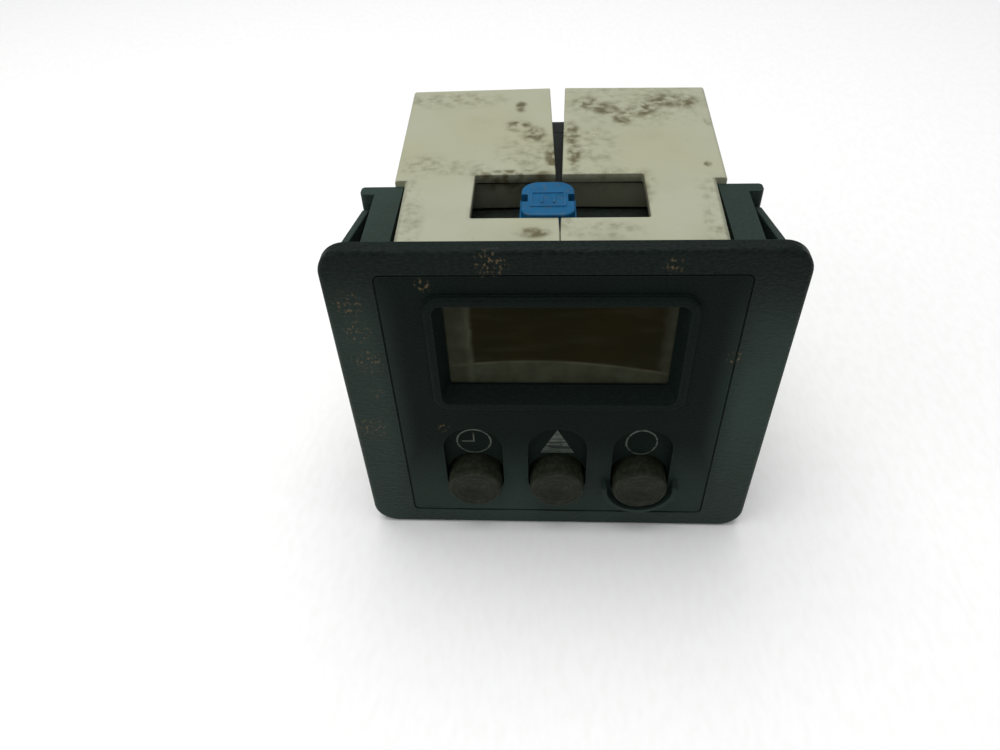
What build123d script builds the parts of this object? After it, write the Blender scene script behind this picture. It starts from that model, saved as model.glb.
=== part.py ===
"""Panel-mount digital timer: snap-in bezel, three keys, display, and a housing of two half shells.

Frame: X to the right seen from the front, Y from the front to the back, Z up, in millimetres.
The origin is the centre of the panel cut-out, on the bezel's back face, where the panel seats.
"""
from build123d import *
from math import radians, sin
import os

# ---- overall sizes --------------------------------------------------------------------------
BEZEL_WIDTH = 72.0
BEZEL_HEIGHT = 65.5
BODY_DEPTH = 62.5          # bezel's back face to the back of the housing
CUT = 0.1                  # how far a cutting shape reaches past the face it cuts

# ---- bezel ----------------------------------------------------------------------------------
BEZEL_THICKNESS = 2.5
BEZEL_CORNER = 4.5
BEZEL_EDGE_ROUND = 0.9
SEAT_DEPTH = 1.5           # pad behind the flange that the front plate and the shells meet
LEDGE = 2.4                # width of the ledge beside the front plate's sides
TONGUE_WIDTH = 3.0
TONGUE_THICKNESS = 1.4
TONGUE_LENGTH = 5.5
TONGUE_INNER_X = 7.62
TONGUE_OUTER_X = 22.3
TONGUE_CLEARANCE = 0.15    # round the display holder, cut from the tongues where they reach it
LEDGE_CORNER = 0.5

# ---- side arms, lips and clip leaves --------------------------------------------------------
LEAF_INSET = 0.1           # clip leaf's free end, inside the bezel's side edge
LIP_INSET = 1.5            # lip, inside the bezel's side edge
LIP_REACH = 2.6            # lip, out from the arm
LIP_THICKNESS = 2.4
LIP_ROUND = 0.7
ARM_WIDTH = 4.8
ARM_LENGTH = 26.0
ARM_WALL = 1.8
ARM_BELOW_BODY = 1.25      # arm's top, below the housing's top
LEAF_THICKNESS = 1.2
LEAF_ROOT_GAP = 0.25       # stands for the thin living hinge between lip and leaf
LEAF_PANEL_GAP = 1.9       # leaf's free end to the panel seat, for the thickest panel
LEAF_ROOT_DROP = 3.0       # leaf's root is lower than the arm's top
LEAF_FREE_RISE = 0.7       # leaf's free end is higher than the arm's top

# ---- front plate ----------------------------------------------------------------------------
SIDE_BORDER = 8.4
TOP_BORDER = 4.6
BOTTOM_BORDER = 4.4
PLATE_GAP = 0.3            # groove round the plate
PLATE_SETBACK = 0.15
PLATE_CORNER = 0.8
PLATE_WALL = 1.1           # wall round the pockets on the back
POST_DIAMETER = 3.6
POST_UPPER_RISE = 52.5     # above the bezel's bottom edge
POST_LOWER_RISE = 30.2
POST_CLEARANCE = 0.15      # round the posts, cut from the shells where they reach them

# ---- display --------------------------------------------------------------------------------
WINDOW_WIDTH = 36.4
WINDOW_HEIGHT = 18.0
WINDOW_DROP = 10.3         # window's top, below the bezel's top edge
WINDOW_THROAT = 0.5
WINDOW_CORNER = 0.5
RIM_SIDE = 2.9             # rim's outside, past the window, on each side
RIM_ABOVE = 2.2
RIM_BELOW = 3.9
RIM_RAISE = 1.0
RIM_LAND = 1.5             # flat land on the rim's front
RIM_CORNER = 3.0
RIM_ROUND = 0.6
RIM_ROOT = 0.5             # rim, into the plate behind it
LENS_SETBACK = 2.0
LENS_MARGIN = 0.9
LENS_THICKNESS = 1.2
LENS_CLEARANCE = 0.1       # round the lens, in its pocket
GLASS_THICKNESS = 2.2
GLASS_GAP = 0.1            # lens to display cell
GLASS_MARGIN = 0.7         # display cell, past the window
GLASS_CONTACT_EDGE = 1.4   # back pane's top and bottom, inside the window's
STRIP_THICKNESS = 1.8
STRIP_INSET = 0.4          # strip's middle, inside the window's edge
STRIP_END_GAP = 0.3
STRIP_CLEARANCE = 0.05
HOLDER_INSET = 0.4         # holder's outside, inside the front plate's pad
HOLDER_CLEARANCE = 0.2     # round the display cell, in its holder
HOLDER_BEARING = 3.0       # width of the floor that the display cell rests on

# ---- keys -----------------------------------------------------------------------------------
KEY_PITCH = 15.24
KEY_DIAMETER = 10.0
KEY_RISE = 13.5            # keys' axes, above the bezel's bottom edge
KEY_PROUD = 2.2            # key's face, in front of the bezel
KEY_CLEARANCE = 0.25       # round the key, in its hole
RECESS_CLEARANCE = 0.33    # round the key, in its recess
KEY_EDGE_ROUND = 0.6
KEY_DISH = 0.35
KEY_TRAVEL = 0.8
KEY_FLANGE_WIDTH = 0.7
KEY_FLANGE_THICKNESS = 0.8
KEY_STOP_GAP = 0.3
RECESS_LENGTH = 9.0        # from the key's axis to the centre of the recess's upper arc
RECESS_DEPTH = 2.3
GUARD_GAP = 0.75           # guard's inside, past the recess
GUARD_WALL = 0.7
GUARD_NUB = 0.55
GUARD_SETBACK = 0.2        # guard's edge, behind the key's face

# ---- switches and display board -------------------------------------------------------------
SWITCH_SIZE = 6.0
SWITCH_HEIGHT = 3.5
SWITCH_CHAMFER = 0.4
PLUNGER_DIAMETER = 3.2
PLUNGER_PROUD = 0.9
PLUNGER_CLEARANCE = 0.25
PLUNGER_END_GAP = 0.3
STEM_DIAMETER = 4.0
STEM_LENGTH = 0.5
BOARD_THICKNESS = 1.6
BOARD_CORNER = 1.0
SCREW_DIAMETER = 2.0
SCREW_HEAD_DIAMETER = 3.6
SCREW_HEAD_HEIGHT = 1.4
SCREW_HEAD_ROUND = 0.5
SCREW_SLOT_WIDTH = 0.5
SCREW_SLOT_LENGTH = 2.5
SCREW_SLOT_DEPTH = 0.6
SCREW_GRIP = 5.0
SCREW_TIP_GAP = 1.0
SCREW_CLEARANCE = 0.1

# ---- housing shells -------------------------------------------------------------------------
BODY_MARGIN = 5.0          # housing's top and bottom, inside the bezel's edges
SHELL_WALL = 1.8
SHELL_CLEARANCE = 0.3
SHELL_FRONT_GAP = 0.1      # shells to the bezel's seat pad, where they come closest
SHOULDER = 1.8             # step out to full width behind the arms
SHOULDER_GAP = 0.02        # splayed shoulder to the arms' backs, where they come closest
SHELL_CHAMFER = 0.8
SHELL_REAR_CHAMFER = 0.4
SPLAY = 1.6                # each half leans outwards at the back, in degrees
SPLAY_PIVOT = 7.5          # the halves still meet here, behind the panel seat
SEAM_CLEARANCE = 0.06
ACCESS_WIDTH = 29.2        # opening in the housing's top
ACCESS_FRONT = 13.9
ACCESS_LENGTH = 13.8
ACCESS_CORNER = 0.5
CURTAIN_GAP = 0.5          # rib behind the access opening
CURTAIN_WALL = 1.6
CURTAIN_WIDTH = 34.0
CURTAIN_COVER_GAP = 0.4

# ---- inner cover, link plug and header ------------------------------------------------------
COVER_DROP = 7.35          # inner cover's top, below the housing's top
COVER_WALL = 1.5
COVER_SIDE_GAP = 0.6
COVER_FRONT = 12.0
COVER_END_GAP = 0.3
PLUG_OFFSET = -1.9
PLUG_CAP_WIDTH = 8.9
PLUG_CAP_LENGTH = 10.4
PLUG_CAP_HEIGHT = 3.4
PLUG_CAP_FRONT_ROUND = 2.0
PLUG_CAP_REAR_ROUND = 3.0
PLUG_BASE_WIDTH = 9.6
PLUG_BASE_LENGTH = 9.8
PLUG_BASE_CORNER = 0.5
PLUG_TOP_ROUND = 0.35
PLUG_PROUD = 0.25          # plug's top, above the housing's top
PLUG_NOTCH_DEPTH = 1.1
PLUG_NOTCH_LENGTH = 2.3
PLUG_NOTCH_FLOOR = 0.6     # notch's floor, above the cap's underside
PLUG_FRONT_GAP = 0.45
PLUG_SEAT_GAP = 0.3
PLUG_FIELD_HEIGHT = 0.25
PLUG_FIELD_WIDTH = 6.0
PLUG_FIELD_LENGTH = 4.6
PLUG_FIELD_LINE = 0.45
PLUG_FIELD_SHIFT = 0.6     # field's centre, in front of the cap's
HEADER_WIDTH = 8.0
HEADER_LENGTH = 7.6
HEADER_PROUD = 0.5
HEADER_DEPTH = 3.4
PIN_SIZE = 0.8
PIN_PITCH = 2.54
PIN_HOLE_CLEARANCE = 0.25
PIN_REACH = 4.6
PIN_TIP_GAP = 0.3

# ---- boards and what they carry -------------------------------------------------------------
POWER_BOARD_RISE = 12.2    # power board's underside, above the housing's bottom
POWER_BOARD_GAP = 0.5
RISER_WIDTH = 24.0
LINK_PIN_COUNT = 8
LINK_BAR_HEIGHT = 2.5
LINK_BAR_LENGTH = 5.0
CHIP_SIZE = 12.0
CHIP_HEIGHT = 2.0
CHIP_CHAMFER = 0.3
CHIP_STAND_OFF = 0.2
CHIP_LEADS = 9
CHIP_LEAD_PITCH = 1.0
CHIP_LEAD_REACH = 1.2
CHIP_LEAD_WIDTH = 0.4
CHIP_LEAD_RISE = 0.4
CRYSTAL_WIDTH = 3.8
CRYSTAL_CORNER = 1.8
CRYSTAL_LENGTH = 10.5
CRYSTAL_HEIGHT = 3.4
SOUNDER_DIAMETER = 12.0
SOUNDER_HEIGHT = 5.5
SOUNDER_ROUND = 0.6
SOUNDER_HOLE_RADIUS = 1.0
SOUNDER_HOLE_DEPTH = 1.5
CORE_WIDTH = 27.0
CORE_HEIGHT = 22.5
CORE_STACK = 11.0
CORE_LIMB = 4.5
CORE_STAND_OFF = 1.5
CORE_SIDE_GAP = 1.0
COIL_GAP = 0.25            # coil to core, all round
COIL_ROUND = 1.2
COIL_FOOT = 1.6
COIL_FOOT_INSET = 1.5
RELAY_WIDTH = 15.4
RELAY_LENGTH = 19.0
RELAY_HEIGHT = 15.2
RELAY_ROUND = 0.5
RELAY_SIDE_GAP = 0.6
RELAY_BLADE_GAP = 3.0
CAPACITOR_DIAMETER = 8.0
CAPACITOR_HEIGHT = 12.0
SMALL_CAPACITOR_DIAMETER = 5.0
SMALL_CAPACITOR_HEIGHT = 9.0
CAPACITOR_ROUND = 0.5
CAPACITOR_GROOVE = 0.3
CAPACITOR_GROOVE_RADIUS = 0.5
CAPACITOR_GROOVE_RISE = 1.4
CAPACITOR_SIDE_GAP = 1.5
PART_GAP = 1.0             # between parts on the power board
BACKUP_DIAMETER = 11.5
BACKUP_HEIGHT = 6.0
BACKUP_ROUND = 0.8
VARISTOR_DIAMETER = 9.0
VARISTOR_THICKNESS = 3.4
VARISTOR_ROUND = 0.9
VARISTOR_X = 0.5
DIODE_DIAMETER = 2.6
DIODE_LENGTH = 5.0
DIODE_PITCH = 3.2
DIODE_SIDE_GAP = 1.5       # past the link bar's end, and behind the cover's front
LEAD_DIAMETER = 0.8
LEAD_LENGTH = 2.0

# ---- terminals ------------------------------------------------------------------------------
TERMINAL_WIDTH = 38.0
TERMINAL_FLANGE = 1.3
TERMINAL_FLANGE_THICKNESS = 2.0
TERMINAL_CLEARANCE = 0.5
BLADE_WIDTH = 6.3
BLADE_THICKNESS = 0.8
BLADE_PROUD = 8.0
BLADE_INSIDE = 4.0
BLADE_TIP = 1.0
BLADE_HOLE_RADIUS = 0.9
BLADE_HOLE_REACH = 4.8
BLADE_PITCH = 12.0
BLADE_ROW_PITCH = 16.0

# ---- places worked out from the sizes -------------------------------------------------------
BOTTOM = -BEZEL_HEIGHT / 2
TOP = BEZEL_HEIGHT / 2
FRONT = -BEZEL_THICKNESS
PLATE_FRONT = FRONT + PLATE_SETBACK
PLATE_LEFT = -BEZEL_WIDTH / 2 + SIDE_BORDER
PLATE_BOTTOM = BOTTOM + BOTTOM_BORDER
PLATE_TOP = TOP - TOP_BORDER

KEY_Z = BOTTOM + KEY_RISE
KEY_XS = (-KEY_PITCH, 0.0, KEY_PITCH)
KEY_NAMES = ("left", "middle", "right")
KEY_FACE = FRONT - KEY_PROUD
KEY_HOLE_RADIUS = KEY_DIAMETER / 2 + KEY_CLEARANCE
RECESS_RADIUS = KEY_DIAMETER / 2 + RECESS_CLEARANCE
RECESS_FLOOR = FRONT + RECESS_DEPTH
KEY_FLANGE_RADIUS = KEY_HOLE_RADIUS + KEY_FLANGE_WIDTH
KEY_FLANGE_FRONT = SEAT_DEPTH + KEY_STOP_GAP
KEY_FLANGE_BACK = KEY_FLANGE_FRONT + KEY_FLANGE_THICKNESS
PLUNGER_FRONT = KEY_FLANGE_BACK + STEM_LENGTH
SWITCH_FRONT = PLUNGER_FRONT + PLUNGER_PROUD
BOARD_FRONT = SWITCH_FRONT + SWITCH_HEIGHT
BOARD_BACK = BOARD_FRONT + BOARD_THICKNESS
CHIP_Z = TOP - WINDOW_DROP - WINDOW_HEIGHT

WINDOW_Z = TOP - WINDOW_DROP - WINDOW_HEIGHT / 2
LENS_FRONT = PLATE_FRONT + LENS_SETBACK
LENS_BACK = LENS_FRONT + LENS_THICKNESS
GLASS_FRONT = LENS_BACK + GLASS_GAP
GLASS_MIDDLE = GLASS_FRONT + GLASS_THICKNESS / 2
GLASS_BACK = GLASS_FRONT + GLASS_THICKNESS

BODY_TOP = TOP - BODY_MARGIN
LIP_X = BEZEL_WIDTH / 2 - LIP_INSET
ARM_OUTER = LIP_X - LIP_REACH
ARM_INNER = ARM_OUTER - ARM_WIDTH
ARM_TOP = BODY_TOP - ARM_BELOW_BODY
LEAF_FREE_X = BEZEL_WIDTH / 2 - LEAF_INSET
LEAF_ROOT_Y = ARM_LENGTH - LIP_THICKNESS - LEAF_ROOT_GAP
SHELL_NARROW = ARM_INNER - SHELL_CLEARANCE - (ARM_LENGTH - SPLAY_PIVOT) * sin(radians(SPLAY))
SHELL_WIDE = SHELL_NARROW + SHOULDER
SHELL_FRONT = SEAT_DEPTH + SHELL_FRONT_GAP + SHELL_NARROW * sin(radians(SPLAY))
SHOULDER_Y = ARM_LENGTH + SHOULDER_GAP + SHELL_WIDE * sin(radians(SPLAY))
INNER_TOP = BODY_TOP - SHELL_WALL
ACCESS_BACK = ACCESS_FRONT + ACCESS_LENGTH

COVER_TOP = BODY_TOP - COVER_DROP
POWER_BOARD_BOTTOM = -BODY_TOP + POWER_BOARD_RISE
POWER_BOARD_TOP = POWER_BOARD_BOTTOM + BOARD_THICKNESS
COVER_HALF = SHELL_NARROW - SHELL_WALL - COVER_SIDE_GAP
TERMINAL_FLANGE_BACK = BODY_DEPTH - SHELL_WALL - SHELL_CLEARANCE - SHELL_WIDE * sin(radians(SPLAY))
TERMINAL_FLANGE_FRONT = TERMINAL_FLANGE_BACK - TERMINAL_FLANGE_THICKNESS
COVER_BACK = TERMINAL_FLANGE_FRONT - COVER_END_GAP
CORE_WINDOW_WIDTH = (CORE_WIDTH - 4 * CORE_LIMB) / 2
CORE_WINDOW_HEIGHT = CORE_HEIGHT - 2 * CORE_LIMB
PLUG_FRONT = ACCESS_FRONT + PLUG_FRONT_GAP
PLUG_Y = PLUG_FRONT + PLUG_CAP_LENGTH / 2
PLUG_TOP = BODY_TOP + PLUG_PROUD
HEADER_TOP = COVER_TOP + HEADER_PROUD
HEADER_BOTTOM = HEADER_TOP - HEADER_DEPTH
RISER_BACK = PLUG_Y + BOARD_THICKNESS / 2
PLUG_BOTTOM = HEADER_TOP + PLUG_SEAT_GAP


# ---- small builders -------------------------------------------------------------------------
def block(x0, x1, y0, y1, z0, z1):
    """A box given by its lowest and highest coordinates."""
    middle = Pos((x0 + x1) / 2, (y0 + y1) / 2, (z0 + z1) / 2)
    return middle * Box(x1 - x0, y1 - y0, z1 - z0)


def rod_x(y, z, radius, x0, x1):
    """A round rod along X."""
    return Pos((x0 + x1) / 2, y, z) * Rot(0, 90, 0) * Cylinder(radius, x1 - x0)


def rod_y(x, z, radius, y0, y1):
    """A round rod along Y."""
    return Pos(x, (y0 + y1) / 2, z) * Rot(90, 0, 0) * Cylinder(radius, y1 - y0)


def rod_z(x, y, radius, z0, z1):
    """A round rod along Z."""
    return Pos(x, y, (z0 + z1) / 2) * Cylinder(radius, z1 - z0)


def facing(y):
    """The plane at depth y that faces the front, with its own axes along X and Z."""
    return Plane(origin=(0, y, 0), x_dir=(1, 0, 0), z_dir=(0, -1, 0))


def slab(sketch, y0, y1):
    """A sketch in X and Z, given thickness from y0 back to y1."""
    return extrude(facing(y1) * sketch, amount=y1 - y0)


def layer(sketch, z0, z1):
    """A sketch in X and Y, given height from z0 up to z1."""
    return extrude(Plane.XY.offset(z0) * sketch, amount=z1 - z0)


def panel_outline(x0, x1, z0, z1, corner):
    """A rounded rectangle in X and Z."""
    return Pos((x0 + x1) / 2, (z0 + z1) / 2) * RectangleRounded(x1 - x0, z1 - z0, corner)


def both_sides(shape):
    """A shape and its mirror image across the middle plane, as one part."""
    return shape + mirror(shape, about=Plane.YZ)


# ---- front plate, display and keys ----------------------------------------------------------
def keyhole(x, grow=0.0):
    """Outline of the recess round a key and its symbol: round below and above."""
    radius = RECESS_RADIUS + grow
    lower = Pos(x, KEY_Z) * Circle(radius)
    upper = Pos(x, KEY_Z + RECESS_LENGTH) * Circle(radius)
    middle = Pos(x, KEY_Z + RECESS_LENGTH / 2) * Rectangle(2 * radius, RECESS_LENGTH)
    return lower + upper + middle


def window_outline(grow_x=0.0, grow_z=0.0):
    """The display window's outline, grown on each side."""
    width = WINDOW_WIDTH + 2 * grow_x
    height = WINDOW_HEIGHT + 2 * grow_z
    return Pos(0, WINDOW_Z) * RectangleRounded(width, height, WINDOW_CORNER)


def back_pads(grow=0.0):
    """Thicker places on the front plate's back, round the keyholes and the display."""
    wall = PLATE_WALL + grow
    pads = window_outline(LENS_MARGIN + wall, LENS_MARGIN + wall)
    for x in KEY_XS:
        pads = pads + keyhole(x, wall)
    return pads


def post_places():
    """Where the display board is screwed to the front plate."""
    x = WINDOW_WIDTH / 2 + LENS_MARGIN + PLATE_WALL + POST_DIAMETER / 2 + PLATE_GAP
    return [(side * x, BOTTOM + rise) for side in (-1, 1) for rise in (POST_LOWER_RISE, POST_UPPER_RISE)]


def rim_outline(inset, corner):
    """The display rim's outline, moved inwards."""
    x = WINDOW_WIDTH / 2 + RIM_SIDE - inset
    low = WINDOW_Z - WINDOW_HEIGHT / 2 - RIM_BELOW + inset
    high = WINDOW_Z + WINDOW_HEIGHT / 2 + RIM_ABOVE - inset
    return panel_outline(-x, x, low, high, corner)


def display_rim():
    """Raised rim round the display, with its front edges rounded."""
    rim = slab(rim_outline(0, RIM_CORNER), PLATE_FRONT - RIM_RAISE, PLATE_FRONT + RIM_ROOT)
    front_edges = rim.faces().sort_by(Axis.Y)[0].edges()
    return fillet(front_edges, RIM_ROUND)


def display_funnel():
    """Space in front of the lens: sloping walls down to the window, then a short throat."""
    mouth = facing(PLATE_FRONT - RIM_RAISE) * rim_outline(RIM_LAND, RIM_CORNER - RIM_LAND)
    floor = facing(LENS_FRONT - WINDOW_THROAT) * window_outline()
    throat = slab(window_outline(), LENS_FRONT - WINDOW_THROAT, LENS_FRONT)
    return loft([mouth, floor]) + throat


def front_plate():
    """Inner plate of the front, with the display opening and the three keyholes."""
    outline = panel_outline(PLATE_LEFT, -PLATE_LEFT, PLATE_BOTTOM, PLATE_TOP, PLATE_CORNER)
    plate = slab(outline, PLATE_FRONT, 0)
    plate = plate + slab(back_pads(), -CUT, SEAT_DEPTH) + display_rim()
    plate = plate - display_funnel()
    pocket = window_outline(LENS_MARGIN, LENS_MARGIN)
    plate = plate - slab(pocket, LENS_FRONT, SEAT_DEPTH + CUT)
    for x in KEY_XS:
        plate = plate - slab(keyhole(x), PLATE_FRONT - CUT, RECESS_FLOOR)
        plate = plate - rod_y(x, KEY_Z, KEY_HOLE_RADIUS, RECESS_FLOOR - CUT, SEAT_DEPTH + CUT)
    for x, z in post_places():
        plate = plate + rod_y(x, z, POST_DIAMETER / 2, -CUT, BOARD_FRONT)
        bore_front = BOARD_BACK - SCREW_GRIP - SCREW_TIP_GAP
        plate = plate - rod_y(x, z, SCREW_DIAMETER / 2, bore_front, BOARD_FRONT + CUT)
    return plate


def key_guard():
    """Half collar round the lower half of the right key, with a nub at each end."""
    inner = RECESS_RADIUS + GUARD_GAP
    outer = inner + GUARD_WALL
    ring = Pos(KEY_PITCH, KEY_Z) * (Circle(outer) - Circle(inner))
    lower = Pos(KEY_PITCH, KEY_Z - outer / 2) * Rectangle(2 * outer + CUT, outer)
    collar = slab(ring & lower, KEY_FACE + GUARD_SETBACK, PLATE_FRONT)
    middle = (inner + outer) / 2
    for side in (-1, 1):
        x = KEY_PITCH + side * middle
        nub = rod_y(x, KEY_Z, GUARD_NUB, KEY_FACE + GUARD_NUB, PLATE_FRONT)
        tip = Pos(x, KEY_FACE + GUARD_NUB, KEY_Z) * Sphere(GUARD_NUB)
        collar = collar + nub + tip
    return collar


def display_lens():
    """Window pane, seated in the front plate's pocket from behind."""
    margin = LENS_MARGIN - LENS_CLEARANCE
    return slab(window_outline(margin, margin), LENS_FRONT, LENS_BACK)


def display_glass():
    """Display cell of two bonded panes, the front one taller so that its contacts show behind."""
    front_pane = slab(window_outline(GLASS_MARGIN, GLASS_MARGIN), GLASS_FRONT, GLASS_MIDDLE)
    back_pane = slab(window_outline(GLASS_MARGIN, -GLASS_CONTACT_EDGE), GLASS_MIDDLE, GLASS_BACK)
    return front_pane + back_pane


def strip_places():
    """Heights of the two contact strips, above and below the display cell's back pane."""
    reach = WINDOW_HEIGHT / 2 - STRIP_INSET
    return [WINDOW_Z - reach, WINDOW_Z + reach]


def holder_outline(grow=0.0):
    """The display holder's outside."""
    margin = LENS_MARGIN + PLATE_WALL - HOLDER_INSET + grow
    return window_outline(margin, margin)


def display_holder():
    """Frame that holds the display cell and the contact strips against the board."""
    holder = slab(holder_outline(), SEAT_DEPTH, BOARD_FRONT)
    margin = GLASS_MARGIN + HOLDER_CLEARANCE
    holder = holder - slab(window_outline(margin, margin), SEAT_DEPTH - CUT, GLASS_MIDDLE)
    back_pane = window_outline(margin, HOLDER_CLEARANCE - GLASS_CONTACT_EDGE)
    holder = holder - slab(back_pane, SEAT_DEPTH - CUT, GLASS_BACK)
    through = window_outline(-HOLDER_BEARING, -HOLDER_BEARING)
    holder = holder - slab(through, SEAT_DEPTH, BOARD_FRONT + CUT)
    half = STRIP_THICKNESS / 2 + STRIP_CLEARANCE
    for z in strip_places():
        holder = holder - block(-WINDOW_WIDTH / 2, WINDOW_WIDTH / 2, 0, BOARD_FRONT + CUT, z - half, z + half)
    return holder


def contact_strips():
    """Two elastomer strips from the display cell's contacts to the board."""
    half = STRIP_THICKNESS / 2
    length = WINDOW_WIDTH / 2 - STRIP_END_GAP
    return [block(-length, length, GLASS_MIDDLE, BOARD_FRONT, z - half, z + half) for z in strip_places()]


def key_cap(x):
    """Round key with a shallow dish, a retaining flange and a stem that meets the switch."""
    radius = KEY_DIAMETER / 2
    cap = rod_y(x, KEY_Z, radius, KEY_FACE, KEY_FLANGE_BACK)
    cap = fillet(cap.faces().sort_by(Axis.Y)[0].edges(), KEY_EDGE_ROUND)
    rim = radius - KEY_EDGE_ROUND
    ball = (rim ** 2 + KEY_DISH ** 2) / (2 * KEY_DISH)
    cap = cap - Pos(x, KEY_FACE + KEY_DISH - ball, KEY_Z) * Sphere(ball)
    cap = cap + rod_y(x, KEY_Z, KEY_FLANGE_RADIUS, KEY_FLANGE_FRONT, KEY_FLANGE_BACK)
    return cap + rod_y(x, KEY_Z, STEM_DIAMETER / 2, KEY_FLANGE_BACK, PLUNGER_FRONT)


def switch_plunger(x):
    """Plunger of a key's switch, pushed by the key's stem."""
    inside = SWITCH_FRONT + PLUNGER_PROUD
    return rod_y(x, KEY_Z, PLUNGER_DIAMETER / 2, PLUNGER_FRONT, inside)


def switch_body(x):
    """Body of a key's switch, bored for its plunger and the plunger's travel."""
    half = SWITCH_SIZE / 2
    body = block(x - half, x + half, SWITCH_FRONT, BOARD_FRONT, KEY_Z - half, KEY_Z + half)
    body = chamfer(body.faces().sort_by(Axis.Y)[0].edges(), SWITCH_CHAMFER)
    depth = PLUNGER_PROUD + KEY_TRAVEL + PLUNGER_END_GAP
    bore = PLUNGER_DIAMETER / 2 + PLUNGER_CLEARANCE
    return body - rod_y(x, KEY_Z, bore, SWITCH_FRONT - CUT, SWITCH_FRONT + depth)


# ---- display board --------------------------------------------------------------------------
def display_board():
    """Board behind the front plate, with the screw holes."""
    half = SHELL_NARROW - SHELL_WALL - POWER_BOARD_GAP - SHELL_CLEARANCE
    high = INNER_TOP - POWER_BOARD_GAP
    board = slab(panel_outline(-half, half, -high, high, BOARD_CORNER), BOARD_FRONT, BOARD_BACK)
    hole = SCREW_DIAMETER / 2 + SCREW_CLEARANCE
    for x, z in post_places():
        board = board - rod_y(x, z, hole, BOARD_FRONT - CUT, BOARD_BACK + CUT)
    return board


def board_screws():
    """Screws that hold the display board to the front plate's posts."""
    screws = []
    tip = BOARD_BACK + SCREW_HEAD_HEIGHT
    for x, z in post_places():
        shank = rod_y(x, z, SCREW_DIAMETER / 2, BOARD_BACK - SCREW_GRIP, BOARD_BACK)
        head = rod_y(x, z, SCREW_HEAD_DIAMETER / 2, BOARD_BACK, tip)
        head = fillet(head.faces().sort_by(Axis.Y)[-1].edges(), SCREW_HEAD_ROUND)
        slot = Pos(x, tip, z) * Box(SCREW_SLOT_WIDTH, 2 * SCREW_SLOT_DEPTH, SCREW_SLOT_LENGTH)
        cross = Pos(x, tip, z) * Box(SCREW_SLOT_LENGTH, 2 * SCREW_SLOT_DEPTH, SCREW_SLOT_WIDTH)
        screws.append(shank + head - slot - cross)
    return screws


def controller_chip():
    """Square chip with leads on four sides, on the display board's back."""
    half = CHIP_SIZE / 2
    y0 = BOARD_BACK + CHIP_STAND_OFF
    body = block(-half, half, y0, BOARD_BACK + CHIP_HEIGHT, CHIP_Z - half, CHIP_Z + half)
    body = chamfer(body.faces().sort_by(Axis.Y)[-1].edges(), CHIP_CHAMFER)
    reach = half + CHIP_LEAD_REACH
    y1 = BOARD_BACK + CHIP_LEAD_RISE
    side = CHIP_LEAD_WIDTH / 2
    for index in range(CHIP_LEADS):
        step = (index - (CHIP_LEADS - 1) / 2) * CHIP_LEAD_PITCH
        z = CHIP_Z + step
        across = block(-reach, reach, BOARD_BACK, y1, z - side, z + side)
        upright = block(step - side, step + side, BOARD_BACK, y1, CHIP_Z - reach, CHIP_Z + reach)
        body = body + across + upright
    return body


def crystal_can():
    """Timing crystal's metal can, lying on the display board's back."""
    outline = Pos(-CHIP_SIZE, CHIP_Z) * RectangleRounded(CRYSTAL_WIDTH, CRYSTAL_LENGTH, CRYSTAL_CORNER)
    return slab(outline, BOARD_BACK, BOARD_BACK + CRYSTAL_HEIGHT)


def sounder():
    """Round sounder with a sound hole, on the display board's back."""
    y1 = BOARD_BACK + SOUNDER_HEIGHT
    can = rod_y(KEY_PITCH, CHIP_Z, SOUNDER_DIAMETER / 2, BOARD_BACK, y1)
    can = fillet(can.faces().sort_by(Axis.Y)[-1].edges(), SOUNDER_ROUND)
    return can - rod_y(KEY_PITCH, CHIP_Z, SOUNDER_HOLE_RADIUS, y1 - SOUNDER_HOLE_DEPTH, y1 + CUT)


# ---- bezel with arms, and the clip leaves ---------------------------------------------------
def side_arm():
    """Right-hand arm: a channel open towards the housing, with an outward lip at its back."""
    back = ARM_LENGTH
    arm = block(ARM_INNER, ARM_OUTER, 0, back, -ARM_TOP, ARM_TOP)
    hollow_top = ARM_TOP - ARM_WALL
    hollow_x = ARM_OUTER - ARM_WALL
    arm = arm - block(ARM_INNER - CUT, hollow_x, SEAT_DEPTH, back - ARM_WALL, -hollow_top, hollow_top)
    lip = block(ARM_OUTER - ARM_WALL, LIP_X, back - LIP_THICKNESS, back, -ARM_TOP, ARM_TOP)
    arm = arm + lip
    upright = [edge for edge in arm.edges().filter_by(Axis.Z) if edge.center().X > LIP_X - CUT]
    return fillet(upright, LIP_ROUND)


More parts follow.
